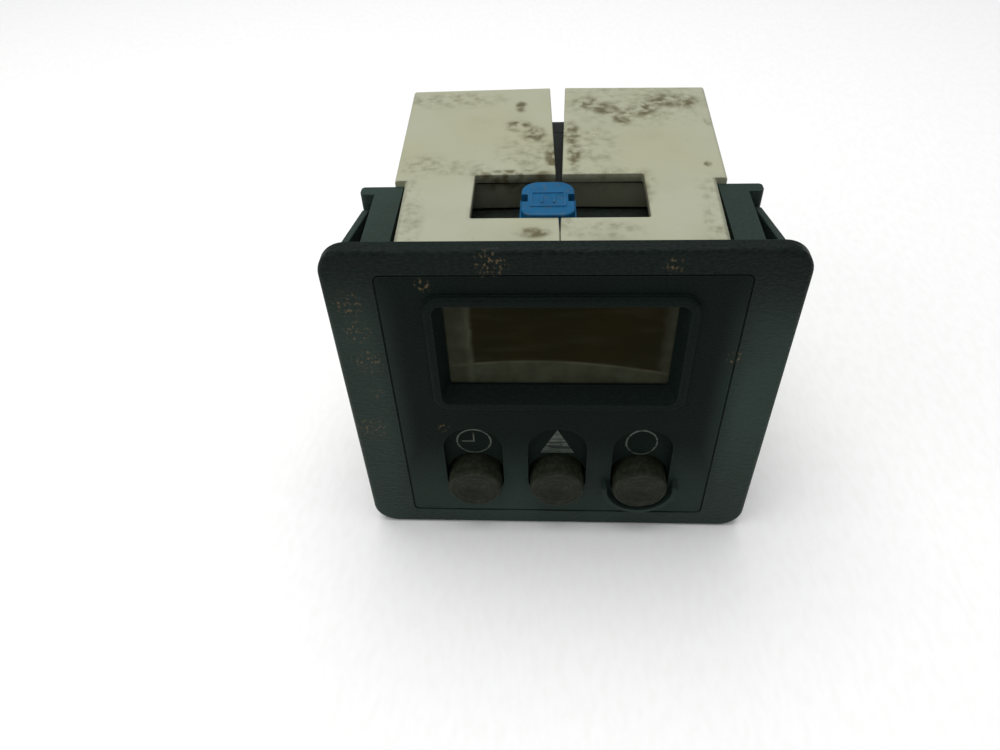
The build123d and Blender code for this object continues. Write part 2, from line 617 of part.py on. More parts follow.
def bezel():
    """Flange, ledge, locating tongues and both side arms, moulded in one piece."""
    outline = RectangleRounded(BEZEL_WIDTH, BEZEL_HEIGHT, BEZEL_CORNER)
    flange = slab(outline, FRONT, 0)
    flange = fillet(flange.faces().sort_by(Axis.Y)[0].edges(), BEZEL_EDGE_ROUND)
    opening = panel_outline(PLATE_LEFT - PLATE_GAP, -PLATE_LEFT + PLATE_GAP,
                            PLATE_BOTTOM - PLATE_GAP, PLATE_TOP + PLATE_GAP, PLATE_CORNER + PLATE_GAP)
    flange = flange - slab(opening, FRONT - CUT, CUT)
    pad = block(-ARM_OUTER, ARM_OUTER, 0, SEAT_DEPTH, -BODY_TOP, BODY_TOP)
    ledge_z = tongue_levels()[1][0]
    through = panel_outline(PLATE_LEFT + LEDGE, -PLATE_LEFT - LEDGE, -ledge_z, ledge_z, LEDGE_CORNER)
    pad = pad - slab(through, -CUT, SEAT_DEPTH + CUT)
    body = flange + pad + both_sides(side_arm())
    for z0, z1 in tongue_levels():
        for x in (TONGUE_INNER_X, TONGUE_OUTER_X):
            half = TONGUE_WIDTH / 2
            tongue = block(x - half, x + half, 0, SEAT_DEPTH + TONGUE_LENGTH, z0, z1)
            body = body + both_sides(tongue)
    body = body - slab(back_pads(KEY_CLEARANCE), -CUT, SEAT_DEPTH + CUT)
    return body - slab(holder_outline(TONGUE_CLEARANCE), SEAT_DEPTH, SEAT_DEPTH + TONGUE_LENGTH + CUT)


def tongue_levels():
    """Lower and upper faces of the bottom and the top row of tongues, just inside the shells."""
    outside = INNER_TOP - SHELL_CLEARANCE
    inside = outside - TONGUE_THICKNESS
    return [(-outside, -inside), (inside, outside)]


def clip_leaf():
    """Right-hand clip leaf: a springy wing from the lip forwards and outwards to the panel."""
    root, free = LEAF_ROOT_Y, LEAF_PANEL_GAP
    plan = Polygon((LIP_X, root), (LIP_X - LEAF_THICKNESS, root), (LEAF_FREE_X - LEAF_THICKNESS, free),
                   (LEAF_FREE_X, free), align=None)
    root_top = ARM_TOP - LEAF_ROOT_DROP
    free_top = ARM_TOP + LEAF_FREE_RISE
    side = Polygon((root, root_top), (free, free_top), (free, -free_top), (root, -root_top), align=None)
    upright = Plane(origin=(0, 0, 0), x_dir=(0, 1, 0), z_dir=(1, 0, 0))
    profile = extrude(upright * side, amount=BEZEL_WIDTH)
    return layer(plan, BOTTOM, TOP) & profile


# ---- housing shells -------------------------------------------------------------------------
def shell_outline(inset=0.0, front=SHELL_FRONT, seam=0.0):
    """Right half of the housing seen from above, moved inwards, before it is splayed."""
    narrow = SHELL_NARROW - inset
    wide = SHELL_WIDE - inset
    back = BODY_DEPTH - inset
    return Polygon((seam, front), (narrow, front), (narrow, SHOULDER_Y + inset), (wide, SHOULDER_Y + inset),
                   (wide, back), (seam, back), align=None)


def splayed(shape):
    """Turns the right half outwards about the place where the halves still meet."""
    return Pos(0, SPLAY_PIVOT, 0) * Rot(0, 0, -SPLAY) * Pos(0, -SPLAY_PIVOT, 0) * shape


def side_edges(shell, x, y0, y1):
    """Edges along the top and the bottom of the half's outer side at x, from y0 back to y1."""
    edges = []
    for edge in shell.edges():
        middle = edge.center()
        level = abs(middle.Z) > BODY_TOP - CUT
        if level and middle.X > x - CUT and y0 < middle.Y < y1:
            edges.append(edge)
    return edges


def housing_half():
    """Right half shell: walls, access opening, terminal opening and the rib behind the access."""
    shell = layer(shell_outline(), -BODY_TOP, BODY_TOP)
    shell = chamfer(side_edges(shell, SHELL_NARROW, 0, SHOULDER_Y - CUT), SHELL_CHAMFER)
    shell = chamfer(side_edges(shell, SHELL_WIDE, SHOULDER_Y, BODY_DEPTH), SHELL_REAR_CHAMFER)
    shell = shell - layer(shell_outline(SHELL_WALL, SHELL_FRONT - CUT, -CUT), -INNER_TOP, INNER_TOP)
    curtain_y = ACCESS_BACK + CURTAIN_GAP
    curtain_foot = COVER_TOP + CURTAIN_COVER_GAP
    curtain = block(0, CURTAIN_WIDTH / 2, curtain_y, curtain_y + CURTAIN_WALL, curtain_foot, INNER_TOP + CUT)
    shell = shell + curtain
    terminal_x = TERMINAL_WIDTH / 2 + TERMINAL_CLEARANCE
    terminal_z = COVER_TOP + TERMINAL_CLEARANCE
    terminal_y = BODY_DEPTH - SHELL_WALL - CUT
    shell = shell - block(-CUT, terminal_x, terminal_y, BODY_DEPTH + CUT, -terminal_z, terminal_z)
    shell = splayed(shell)
    access = RectangleRounded(ACCESS_WIDTH, ACCESS_LENGTH, ACCESS_CORNER)
    access = Pos(0, ACCESS_FRONT + ACCESS_LENGTH / 2) * access
    shell = shell - layer(access, INNER_TOP - CUT, BODY_TOP + CUT)
    past_seam = block(-SHELL_WIDE, SEAM_CLEARANCE, 0, 2 * BODY_DEPTH, BOTTOM, TOP)
    return shell - past_seam - front_room()


def front_room():
    """Room for the front plate's posts, and for the keys' flanges over their whole travel."""
    radius = KEY_FLANGE_RADIUS + KEY_CLEARANCE
    back = KEY_FLANGE_BACK + KEY_TRAVEL + KEY_CLEARANCE
    rooms = [rod_y(x, KEY_Z, radius, SEAT_DEPTH, back) for x in KEY_XS]
    for x, z in post_places():
        rooms.append(rod_y(x, z, POST_DIAMETER / 2 + POST_CLEARANCE, SEAT_DEPTH, BOARD_FRONT))
    return rooms


# ---- inner cover and link plug --------------------------------------------------------------
def inner_cover():
    """Insulating cover over the power board: a top and two side walls that stand on the board."""
    cover = block(-COVER_HALF, COVER_HALF, COVER_FRONT, COVER_BACK, POWER_BOARD_TOP, COVER_TOP)
    inside = COVER_HALF - COVER_WALL
    ceiling = COVER_TOP - COVER_WALL
    cover = cover - block(-inside, inside, COVER_FRONT - CUT, COVER_BACK + CUT, POWER_BOARD_TOP - CUT, ceiling)
    hole_x = HEADER_WIDTH / 2 + PIN_HOLE_CLEARANCE
    hole_y = HEADER_LENGTH / 2 + PIN_HOLE_CLEARANCE
    return cover - block(PLUG_OFFSET - hole_x, PLUG_OFFSET + hole_x, PLUG_Y - hole_y, PLUG_Y + hole_y,
                         ceiling - CUT, COVER_TOP + CUT)


def pin_places():
    """Axes of the link header's pins."""
    half = PIN_PITCH / 2
    return [(PLUG_OFFSET + sx * half, PLUG_Y + sy * half) for sx in (-1, 1) for sy in (-1, 1)]


def link_header():
    """Header that stands on the riser board's top edge, bored for its pins."""
    x, y = HEADER_WIDTH / 2, HEADER_LENGTH / 2
    body = block(PLUG_OFFSET - x, PLUG_OFFSET + x, PLUG_Y - y, PLUG_Y + y, HEADER_BOTTOM, HEADER_TOP)
    for px, py in pin_places():
        body = body - square_post(px, py, PIN_SIZE, HEADER_BOTTOM - CUT, HEADER_TOP + CUT)
    return body


def square_post(x, y, size, z0, z1):
    """An upright square bar."""
    half = size / 2
    return block(x - half, x + half, y - half, y + half, z0, z1)


def link_pins():
    """Square pins that stand in the header and enter the plug."""
    pins = []
    for px, py in pin_places():
        pin = square_post(px, py, PIN_SIZE, HEADER_BOTTOM, HEADER_TOP + PIN_REACH)
        pins.append(chamfer(pin.faces().sort_by(Axis.Z)[-1].edges(), PIN_SIZE / 4))
    return pins


def link_plug():
    """Pull-out plug: a square base and a rounded cap with a notch on each side."""
    cap_bottom = PLUG_TOP - PLUG_CAP_HEIGHT
    base = Pos(PLUG_OFFSET, PLUG_Y) * RectangleRounded(PLUG_BASE_WIDTH, PLUG_BASE_LENGTH, PLUG_BASE_CORNER)
    plug = layer(base, PLUG_BOTTOM, cap_bottom)
    outline = plug_cap_half(-1, PLUG_CAP_FRONT_ROUND) + plug_cap_half(1, PLUG_CAP_REAR_ROUND)
    cap = layer(outline, cap_bottom, PLUG_TOP)
    cap = fillet(cap.faces().sort_by(Axis.Z)[-1].edges(), PLUG_TOP_ROUND)
    half = PLUG_NOTCH_LENGTH / 2
    for side in (-1, 1):
        x = PLUG_OFFSET + side * PLUG_CAP_WIDTH / 2
        cap = cap - block(x - PLUG_NOTCH_DEPTH, x + PLUG_NOTCH_DEPTH, PLUG_Y - half, PLUG_Y + half,
                          cap_bottom + PLUG_NOTCH_FLOOR, PLUG_TOP + CUT)
    plug = plug + cap + plug_field()
    hole_top = HEADER_TOP + PIN_REACH + PIN_TIP_GAP
    for px, py in pin_places():
        plug = plug - square_post(px, py, PIN_SIZE + 2 * PIN_HOLE_CLEARANCE, PLUG_BOTTOM - CUT, hole_top)
    return plug


def plug_cap_half(side, corner):
    """Outline of the cap's front half (-1) or rear half (1), rounded at its own end."""
    whole = Pos(PLUG_OFFSET, PLUG_Y) * RectangleRounded(PLUG_CAP_WIDTH, PLUG_CAP_LENGTH, corner)
    half = PLUG_CAP_LENGTH / 2
    return whole & (Pos(PLUG_OFFSET, PLUG_Y + side * half / 2) * Rectangle(PLUG_CAP_WIDTH + CUT, half))


def plug_field():
    """Raised frame with two ribs on the plug's top."""
    outer = Rectangle(PLUG_FIELD_WIDTH, PLUG_FIELD_LENGTH)
    inner = Rectangle(PLUG_FIELD_WIDTH - 2 * PLUG_FIELD_LINE, PLUG_FIELD_LENGTH - 2 * PLUG_FIELD_LINE)
    frame = outer - inner
    for step in (-1, 1):
        frame = frame + Pos(step * PLUG_FIELD_WIDTH / 6, 0) * Rectangle(PLUG_FIELD_LINE, PLUG_FIELD_LENGTH / 2)
    placed = Pos(PLUG_OFFSET, PLUG_Y - PLUG_FIELD_SHIFT) * frame
    return layer(placed, PLUG_TOP - CUT, PLUG_TOP + PLUG_FIELD_HEIGHT)


# ---- power board and what it carries --------------------------------------------------------
def power_board():
    """Horizontal board that carries the mains side."""
    return block(-COVER_HALF, COVER_HALF, COVER_FRONT, COVER_BACK, POWER_BOARD_BOTTOM, POWER_BOARD_TOP)


def riser_board():
    """Upright board under the link header."""
    x0 = PLUG_OFFSET - RISER_WIDTH / 2
    return block(x0, x0 + RISER_WIDTH, RISER_BACK - BOARD_THICKNESS, RISER_BACK, POWER_BOARD_TOP, HEADER_BOTTOM)


def link_bar():
    """Plastic bar of the header between the display board and the power board."""
    half = LINK_PIN_COUNT * PIN_PITCH / 2
    z0 = POWER_BOARD_TOP
    bar = block(-half, half, COVER_FRONT, COVER_FRONT + LINK_BAR_LENGTH, z0, z0 + LINK_BAR_HEIGHT)
    for x in link_pin_xs():
        bar = bar - link_pin_box(x)
    return bar


def link_pin_xs():
    """Places of the pins between the two boards."""
    return [(index - (LINK_PIN_COUNT - 1) / 2) * PIN_PITCH for index in range(LINK_PIN_COUNT)]


def link_pin_box(x):
    """One square pin from the display board's back through the bar."""
    half = PIN_SIZE / 2
    z = POWER_BOARD_TOP + LINK_BAR_HEIGHT / 2
    return block(x - half, x + half, BOARD_BACK, COVER_FRONT + LINK_BAR_LENGTH, z - half, z + half)


def board_link_pins():
    """The pins between the display board and the power board."""
    return [link_pin_box(x) for x in link_pin_xs()]


def transformer_place():
    """Centre of the transformer's core."""
    y = COVER_BACK - BLADE_INSIDE - CORE_STACK
    z = POWER_BOARD_TOP + CORE_HEIGHT / 2 + CORE_STAND_OFF
    return (-COVER_HALF + COVER_WALL + CORE_WIDTH / 2 + CORE_SIDE_GAP, y, z)


def transformer_core():
    """Laminated core with two windows."""
    core = Box(CORE_WIDTH, CORE_STACK, CORE_HEIGHT)
    for side in (-1, 1):
        x = side * (CORE_LIMB + CORE_WINDOW_WIDTH / 2)
        core = core - Pos(x, 0, 0) * Box(CORE_WINDOW_WIDTH, CORE_STACK + CUT, CORE_WINDOW_HEIGHT)
    return Pos(*transformer_place()) * core


def transformer_coil():
    """Bobbin and winding round the core's middle limb."""
    width = 2 * (CORE_LIMB + CORE_WINDOW_WIDTH - COIL_GAP)
    height = CORE_WINDOW_HEIGHT - 2 * COIL_GAP
    length = CORE_STACK + 2 * (CORE_WINDOW_WIDTH - COIL_GAP)
    coil = fillet(Box(width, length, height).edges().filter_by(Axis.Z), COIL_ROUND)
    coil = coil - Box(2 * (CORE_LIMB + COIL_GAP), CORE_STACK + 2 * COIL_GAP, height + CUT)
    below = CORE_HEIGHT / 2 + CORE_STAND_OFF
    for side in (-1, 1):
        y = side * (length / 2 - COIL_FOOT_INSET)
        foot = Box(width - 2 * COIL_FOOT_INSET, COIL_FOOT, below - height / 2)
        coil = coil + Pos(0, y, -(below + height / 2) / 2) * foot
    return Pos(*transformer_place()) * coil


def relay():
    """Sealed relay beside the transformer."""
    x1 = COVER_HALF - COVER_WALL - RELAY_SIDE_GAP
    y1 = COVER_BACK - BLADE_INSIDE - RELAY_BLADE_GAP
    z0 = POWER_BOARD_TOP
    body = block(x1 - RELAY_WIDTH, x1, y1 - RELAY_LENGTH, y1, z0, z0 + RELAY_HEIGHT)
    return fillet(body.edges().filter_by(Axis.Z) + body.faces().sort_by(Axis.Z)[-1].edges(), RELAY_ROUND)


def upright_can(x, y, diameter, height):
    """A capacitor standing on the power board, with the groove near its foot."""
    z0 = POWER_BOARD_TOP
    can = rod_z(x, y, diameter / 2, z0, z0 + height)
    can = fillet(can.faces().sort_by(Axis.Z)[-1].edges(), CAPACITOR_ROUND)
    ring = diameter / 2 + CAPACITOR_GROOVE_RADIUS - CAPACITOR_GROOVE
    return can - Pos(x, y, z0 + CAPACITOR_GROOVE_RISE) * Torus(ring, CAPACITOR_GROOVE_RADIUS)


def capacitors():
    """Smoothing capacitors between the riser board and the relay."""
    y = RISER_BACK + CAPACITOR_DIAMETER / 2 + PART_GAP
    x = COVER_HALF - COVER_WALL - CAPACITOR_DIAMETER / 2 - CAPACITOR_SIDE_GAP
    big = upright_can(x, y, CAPACITOR_DIAMETER, CAPACITOR_HEIGHT)
    gap = CAPACITOR_DIAMETER / 2 + SMALL_CAPACITOR_DIAMETER / 2 + PART_GAP
    small = upright_can(x - gap, y, SMALL_CAPACITOR_DIAMETER, SMALL_CAPACITOR_HEIGHT)
    return [big, small]


def backup_capacitor():
    """Flat round cell that keeps the time through a power cut."""
    x = -COVER_HALF + COVER_WALL + BACKUP_DIAMETER / 2 + PART_GAP
    y = RISER_BACK + BACKUP_DIAMETER / 2 + PART_GAP
    can = rod_z(x, y, BACKUP_DIAMETER / 2, POWER_BOARD_TOP, POWER_BOARD_TOP + BACKUP_HEIGHT)
    return fillet(can.faces().sort_by(Axis.Z)[-1].edges(), BACKUP_ROUND)


def varistor():
    """Disc varistor standing on two leads."""
    x = VARISTOR_X
    y = RISER_BACK + VARISTOR_DIAMETER / 2 + PART_GAP
    z = POWER_BOARD_TOP + LEAD_LENGTH + VARISTOR_DIAMETER / 2
    disc = rod_x(y, z, VARISTOR_DIAMETER / 2, x - VARISTOR_THICKNESS / 2, x + VARISTOR_THICKNESS / 2)
    disc = fillet(disc.edges().filter_by(GeomType.CIRCLE), VARISTOR_ROUND)
    for step in (-1, 1):
        lead_y = y + step * VARISTOR_DIAMETER / 4
        disc = disc + rod_z(x, lead_y, LEAD_DIAMETER / 2, POWER_BOARD_TOP, z - VARISTOR_DIAMETER / 4)
    return disc


def rectifier_diodes():
    """Four diodes, two on each side of the link bar."""
    z = POWER_BOARD_TOP + DIODE_DIAMETER / 2
    first = COVER_FRONT + DIODE_SIDE_GAP
    reach = LINK_PIN_COUNT * PIN_PITCH / 2 + DIODE_SIDE_GAP + DIODE_LENGTH / 2
    diodes = []
    for x in (-reach, reach):
        for y in (first, first + DIODE_PITCH):
            diodes.append(rod_x(y, z, DIODE_DIAMETER / 2, x - DIODE_LENGTH / 2, x + DIODE_LENGTH / 2))
    return diodes


# ---- terminals ------------------------------------------------------------------------------
def blade_places():
    """Centres of the terminal blades in X and Z."""
    return [(column * BLADE_PITCH, row * BLADE_ROW_PITCH / 2) for row in (-1, 1) for column in (-1, 0, 1)]


def blade_slot(x, z, y0, y1):
    """The straight part of one blade."""
    half_width, half_thickness = BLADE_WIDTH / 2, BLADE_THICKNESS / 2
    return block(x - half_width, x + half_width, y0, y1, z - half_thickness, z + half_thickness)


def terminal_block():
    """Block that fills the opening in the housing's back and holds the blades."""
    half = TERMINAL_WIDTH / 2
    body = block(-half, half, TERMINAL_FLANGE_FRONT, BODY_DEPTH, -COVER_TOP, COVER_TOP)
    wide = half + TERMINAL_FLANGE
    low = -COVER_TOP - TERMINAL_FLANGE
    body = body + block(-wide, wide, TERMINAL_FLANGE_FRONT, TERMINAL_FLANGE_BACK, low, COVER_TOP)
    for x, z in blade_places():
        body = body - blade_slot(x, z, TERMINAL_FLANGE_FRONT - CUT, BODY_DEPTH + CUT)
    return body


def terminal_blades():
    """Tab terminals that stand out of the back."""
    blades = []
    hole_y = BODY_DEPTH + BLADE_HOLE_REACH
    for x, z in blade_places():
        blade = blade_slot(x, z, TERMINAL_FLANGE_FRONT - BLADE_INSIDE, BODY_DEPTH + BLADE_PROUD)
        tip = blade.faces().sort_by(Axis.Y)[-1].edges().filter_by(Axis.Z)
        blade = chamfer(tip, BLADE_TIP)
        hole = rod_z(x, hole_y, BLADE_HOLE_RADIUS, z - BLADE_THICKNESS, z + BLADE_THICKNESS)
        blades.append(blade - hole)
    return blades


# ---- the whole timer ------------------------------------------------------------------------
def all_nodes():
    """Every node of the timer: its name, and one shape or a list of separate solids."""
    right_shell = housing_half()
    right_leaf = clip_leaf()
    nodes = {
        "bezel": bezel(),
        "left_clip_leaf": mirror(right_leaf, about=Plane.YZ),
        "right_clip_leaf": right_leaf,
        "front_plate": front_plate(),
        "key_guard": key_guard(),
        "display_lens": display_lens(),
        "display_glass": display_glass(),
        "display_holder": display_holder(),
        "contact_strips": contact_strips(),
        "display_board": display_board(),
        "board_screws": board_screws(),
        "controller_chip": controller_chip(),
        "crystal_can": crystal_can(),
        "sounder": sounder(),
        "left_shell": mirror(right_shell, about=Plane.YZ),
        "right_shell": right_shell,
        "inner_cover": inner_cover(),
        "link_plug": link_plug(),
        "link_header": link_header(),
        "link_pins": link_pins(),
        "riser_board": riser_board(),
        "power_board": power_board(),
        "link_bar": link_bar(),
        "board_link_pins": board_link_pins(),
        "transformer_core": transformer_core(),
        "transformer_coil": transformer_coil(),
        "relay": relay(),
        "capacitors": capacitors(),
        "backup_capacitor": backup_capacitor(),
        "varistor": varistor(),
        "rectifier_diodes": rectifier_diodes(),
        "terminal_block": terminal_block(),
        "terminal_blades": terminal_blades(),
    }
    for name, x in zip(KEY_NAMES, KEY_XS):
        nodes[name + "_key"] = key_cap(x)
        nodes[name + "_switch_body"] = switch_body(x)
        nodes[name + "_switch_plunger"] = switch_plunger(x)
    return nodes


def main():
    """Writes one STEP file for each node."""
    os.makedirs("parts", exist_ok=True)
    for name, shape in all_nodes().items():
        solids = shape if isinstance(shape, list) else [shape]
        whole = solids[0] if len(solids) == 1 else Compound(children=solids)
        export_step(whole, "parts/" + name + ".step")


main()
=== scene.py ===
"""Looks of a panel-mount digital timer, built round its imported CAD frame.

Lengths are in metres in the frame's axes: X to the right seen from the front, Y to the back, Z up.
"""

import math
import random

import bmesh
import bpy
from bpy.props import FloatProperty, FloatVectorProperty, PointerProperty
from mathutils import Matrix, Vector


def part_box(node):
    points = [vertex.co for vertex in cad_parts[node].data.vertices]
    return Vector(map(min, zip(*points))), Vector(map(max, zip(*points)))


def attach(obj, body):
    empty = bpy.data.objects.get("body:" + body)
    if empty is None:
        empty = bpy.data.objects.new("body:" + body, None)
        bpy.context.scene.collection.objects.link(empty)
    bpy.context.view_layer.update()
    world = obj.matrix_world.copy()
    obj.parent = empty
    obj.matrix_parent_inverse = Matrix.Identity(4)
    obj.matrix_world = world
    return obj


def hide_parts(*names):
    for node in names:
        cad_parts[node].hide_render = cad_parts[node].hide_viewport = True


bl_info = {
    "name": "Panel Timer",
    "version": (1, 0, 0),
    "blender": (4, 5, 0),
    "location": "View3D > Sidebar > Panel Timer",
    "description": "Builds the visible pieces and the finishes of a snap-in panel timer",
    "category": "Add Mesh",
}

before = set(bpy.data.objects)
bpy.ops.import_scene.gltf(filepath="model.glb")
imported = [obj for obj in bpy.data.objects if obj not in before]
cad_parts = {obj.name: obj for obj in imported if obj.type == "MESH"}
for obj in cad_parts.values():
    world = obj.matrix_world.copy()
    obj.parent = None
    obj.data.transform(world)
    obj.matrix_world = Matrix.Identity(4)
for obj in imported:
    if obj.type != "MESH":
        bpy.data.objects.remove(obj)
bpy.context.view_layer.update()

MM = 0.001
KEY_SIDES = ("left", "middle", "right")
FACE_RINGS = 18
EDGE_RINGS = 6
SMOOTH = {"interpolation_type": "SMOOTHSTEP"}
GRID = {"Color1": (0, 0, 0, 1), "Color2": (0, 0, 0, 1), "Mortar": (1, 1, 1, 1)}
SHARP_ANGLE = math.radians(40)
CAMERA_PLACE = (-0.0021, -0.0938, 0.09635)
CAMERA_TURN = (46.0937, 2.1785, 2.6149)
CAMERA_LENS = 27.95
SENSOR_WIDTH = 36.0


def linear(colour):
    """Linear red, green and blue of an sRGB hex value."""
    channels = [int(colour[start:start + 2], 16) / 255 for start in (1, 3, 5)]
    return tuple(c / 12.92 if c <= 0.04045 else ((c + 0.055) / 1.055) ** 2.4 for c in channels)


def swatch(name, description, colour):
    """A colour that the user can change, given by its sRGB hex value."""
    return FloatVectorProperty(name=name, description=description, subtype="COLOR", size=3, min=0, max=1,
                               default=linear(colour))


def length(name, description, millimetres):
    """A length that the user can change, in metres with Blender's own units."""
    return FloatProperty(name=name, description=description, subtype="DISTANCE", unit="LENGTH", min=0,
                         precision=5, default=millimetres * MM)


# ---- sizes and colours ----------------------------------------------------------------------
class TimerSizes(bpy.types.PropertyGroup):
    """Sizes of the worn and printed details, and of the CAD shapes that they follow."""
    edge_softness: length("Edge softness", "Width of the worn round on moulded edges", 0.18)
    sheet_softness: length("Thin edge softness", "Width of the worn round on thin edges", 0.08)
    key_diameter: length("Key diameter", "Diameter of a key's face", 10.0)
    key_dish: length("Key dish", "Depth of the hollow in a key's face", 0.35)
    key_edge: length("Key edge", "Round at the edge of a key's face", 0.6)
    key_wear_ring: length("Key wear ring", "Radius of the ridge worn into a key's face", 3.3)
    key_ridge: length("Key ridge", "Height of the worn ridge", 0.12)
    key_ridge_width: length("Key ridge width", "Half the width of the worn ridge", 0.35)
    key_skirt: length("Key skirt", "Length of a key's side down to its flange", 6.5)
    key_stem: length("Key stem", "Radius of the stem behind a key", 2.0)
    key_stem_length: length("Key stem length", "Length of the stem behind a key's flange", 0.5)
    symbol_rise: length("Symbol height", "Centre of a symbol above its key's centre", 8.5)
    symbol_line: length("Symbol line", "Width of a printed line", 0.31)
    clock_width: length("Clock width", "Outside of the clock's ring", 6.5)
    clock_minute: length("Minute hand", "Length of the clock's upright hand", 2.3)
    clock_hour: length("Hour hand", "Length of the clock's level hand", 2.2)
    triangle_half: length("Triangle half", "Half the width of the triangle", 3.1)
    triangle_below: length("Triangle below", "Triangle's base below the symbol's centre", 3.0)
    triangle_above: length("Triangle above", "Triangle's tip above the symbol's centre", 3.2)
    ring_width: length("Ring width", "Outside of the plain ring, across", 5.8)
    ring_height: length("Ring height", "Outside of the plain ring, upright", 6.7)
    symbol_print: length("Print thickness", "Thickness of the printed ink", 0.02)
    recess_floor: length("Recess floor", "Recess floor behind the front of the bezel", 2.3)
    groove: length("Groove", "Width of the groove between the bezel and its plate", 0.3)
    groove_fill: length("Groove fill", "Packed dust in the groove, behind the front of the bezel", 0.45)
    groove_corner: length("Groove corner", "Round at the plate's corners", 0.8)
    groove_dust: length("Groove dust", "Thickness of the packed dust", 0.3)
    access_width: length("Access width", "Width of the opening in the housing's top", 29.2)
    access_length: length("Access length", "Length of the opening in the housing's top", 13.8)
    access_front: length("Access front", "Front edge of the opening behind the panel's seat", 13.9)


class TimerColours(bpy.types.PropertyGroup):
    """Colours of the finishes."""
    bezel_black: swatch("Bezel black", "Moulded bezel", "#0d1512")
    plate_black: swatch("Plate black", "Inner plate", "#08110e")
    # This colour is also laid on the black mouldings as painted sheen.
    dust: swatch("Dust", "Dust that sits in the grain", "#54675f")
    rust: swatch("Rust", "Brown specks on the bezel", "#6a5940")
    lens_brown: swatch("Lens brown", "Smoked lens", "#171504")
    lens_grime: swatch("Lens grime", "Film round the lens's edge", "#3a3d30")
    key_grey: swatch("Key grey", "Worn rubber of the keys", "#1a1e13")
    key_worn: swatch("Key worn", "Rubbed places on the keys", "#34372a")
    ink: swatch("Ink", "Printed symbols", "#545c52")
    cream: swatch("Cream", "Housing halves", "#a2a48e")
    smudge: swatch("Smudge", "Brown dirt on the housing", "#564f2f")
    packed_dust: swatch("Packed dust", "Dust packed into grooves", "#1c2420")
    scum: swatch("Scum", "Dried line at the edge of the lens's film", "#4e5041")
    # Painted shade: the dim tone of the faces inside the access opening.
    recess_shade: swatch("Well", "Grime on the faces inside the access opening", "#2b2e20")
    plug_blue: swatch("Plug blue", "Link plug", "#0e557e")


def sizes():
    """The sizes as they are set now."""
    return bpy.context.scene.timer_sizes


def colours():
    """The colours as they are set now."""
    return bpy.context.scene.timer_colours


# ---- node tools -----------------------------------------------------------------------------
def result(node):
    """A node's first output that is in use."""
    return next(socket for socket in node.outputs if socket.enabled)


def add(tree, kind, settings, sockets):
    """Adds a node; each socket is given a number, a colour, or a node or socket to link."""
    node = tree.nodes.new("ShaderNode" + kind)
    for name, value in settings.items():
        setattr(node, name, value)
    for name, value in sockets.items():
        socket = next(s for s in node.inputs if name in (s.identifier, s.name))
        if isinstance(value, bpy.types.Node):
            value = result(value)
        if isinstance(value, bpy.types.NodeSocket):
            tree.links.new(value, socket)
        else:
            socket.default_value = value
    return node


def opaque(colour):
    """A colour with its alpha, as a colour socket takes it."""
    return (*colour, 1.0)


def surface(name, roughness, ior=1.5, metallic=0.0):
    """A new material with its shader, and the piece's own places in millimetres."""
    material = bpy.data.materials.new(name)
    material.use_nodes = True
    tree = material.node_tree
    shader = tree.nodes["Principled BSDF"]
    shader.inputs["Roughness"].default_value = roughness
    shader.inputs["IOR"].default_value = ior
    shader.inputs["Metallic"].default_value = metallic
    places = add(tree, "TexCoord", {}, {})
    coords = add(tree, "VectorMath", {"operation": "SCALE"},
                 {"Vector": places.outputs["Object"], "Scale": 1 / MM})
    return material, tree, shader, coords


def speckle(tree, coords, grain, low, high, detail=3.0, stretch=(1, 1, 1)):
    """A mask of soft blotches: grain is their size in millimetres, low to high is where they fade in."""
    pulled = add(tree, "VectorMath", {"operation": "MULTIPLY"}, {"Vector": coords, "Vector_001": stretch})
    pattern = add(tree, "TexNoise", {}, {"Vector": pulled, "Scale": 1 / grain, "Detail": detail})
    return add(tree, "MapRange", SMOOTH, {"Value": pattern, "From Min": low, "From Max": high})


def patch(tree, coords, centre, reach, breakup, stretch=(1, 1, 1)):
    """A mask that is full at centre, fades out at reach, and is broken up by another mask."""
    away = add(tree, "VectorMath", {"operation": "SUBTRACT"}, {"Vector": coords, "Vector_001": centre})
    pulled = add(tree, "VectorMath", {"operation": "MULTIPLY"}, {"Vector": away, "Vector_001": stretch})
    distance = add(tree, "VectorMath", {"operation": "LENGTH"}, {"Vector": pulled})
    near = add(tree, "MapRange", SMOOTH,
               {"Value": distance.outputs["Value"], "From Min": reach, "From Max": reach * 0.4})
    return add(tree, "Math", {"operation": "MULTIPLY"}, {"Value": near, "Value_001": breakup})


def tint(tree, below, colour, mask, strength=1.0):
    """Lays a colour over the one below, itself a colour or a node, where the mask is full."""
    amount = add(tree, "Math", {"operation": "MULTIPLY"}, {"Value": mask, "Value_001": strength})
    start = below if isinstance(below, bpy.types.Node) else opaque(below)
    return add(tree, "Mix", {"data_type": "RGBA"},
               {"Factor_Float": amount, "A_Color": start, "B_Color": opaque(colour)})


def gather(tree, masks):
    """The highest of several masks."""
    total = masks[0]
    for mask in masks[1:]:
        total = add(tree, "Math", {"operation": "MAXIMUM"}, {"Value": total, "Value_001": mask})
    return total


def relief(tree, shader, height, depth, below=None):
    """Raises the surface by height times depth in millimetres, on top of the relief below."""
    sockets = {"Height": height, "Distance": depth * MM, "Strength": 1.0}
    if below:
        sockets["Normal"] = below
    bump = add(tree, "Bump", {}, sockets)
    tree.links.new(bump.outputs["Normal"], shader.inputs["Normal"])
    return bump


def edge_wear(tree):
    """A mask of the edges and corners, where hands rub and dust lodges."""
    rounded = add(tree, "Bevel", {"samples": 4}, {"Radius": 0.35 * MM})
    geometry = add(tree, "NewGeometry", {}, {})
    alike = add(tree, "VectorMath", {"operation": "DOT_PRODUCT"},
                {"Vector": rounded, "Vector_001": geometry.outputs["Normal"]})
    return add(tree, "MapRange", SMOOTH,
               {"Value": alike.outputs["Value"], "From Min": 0.99, "From Max": 0.8})


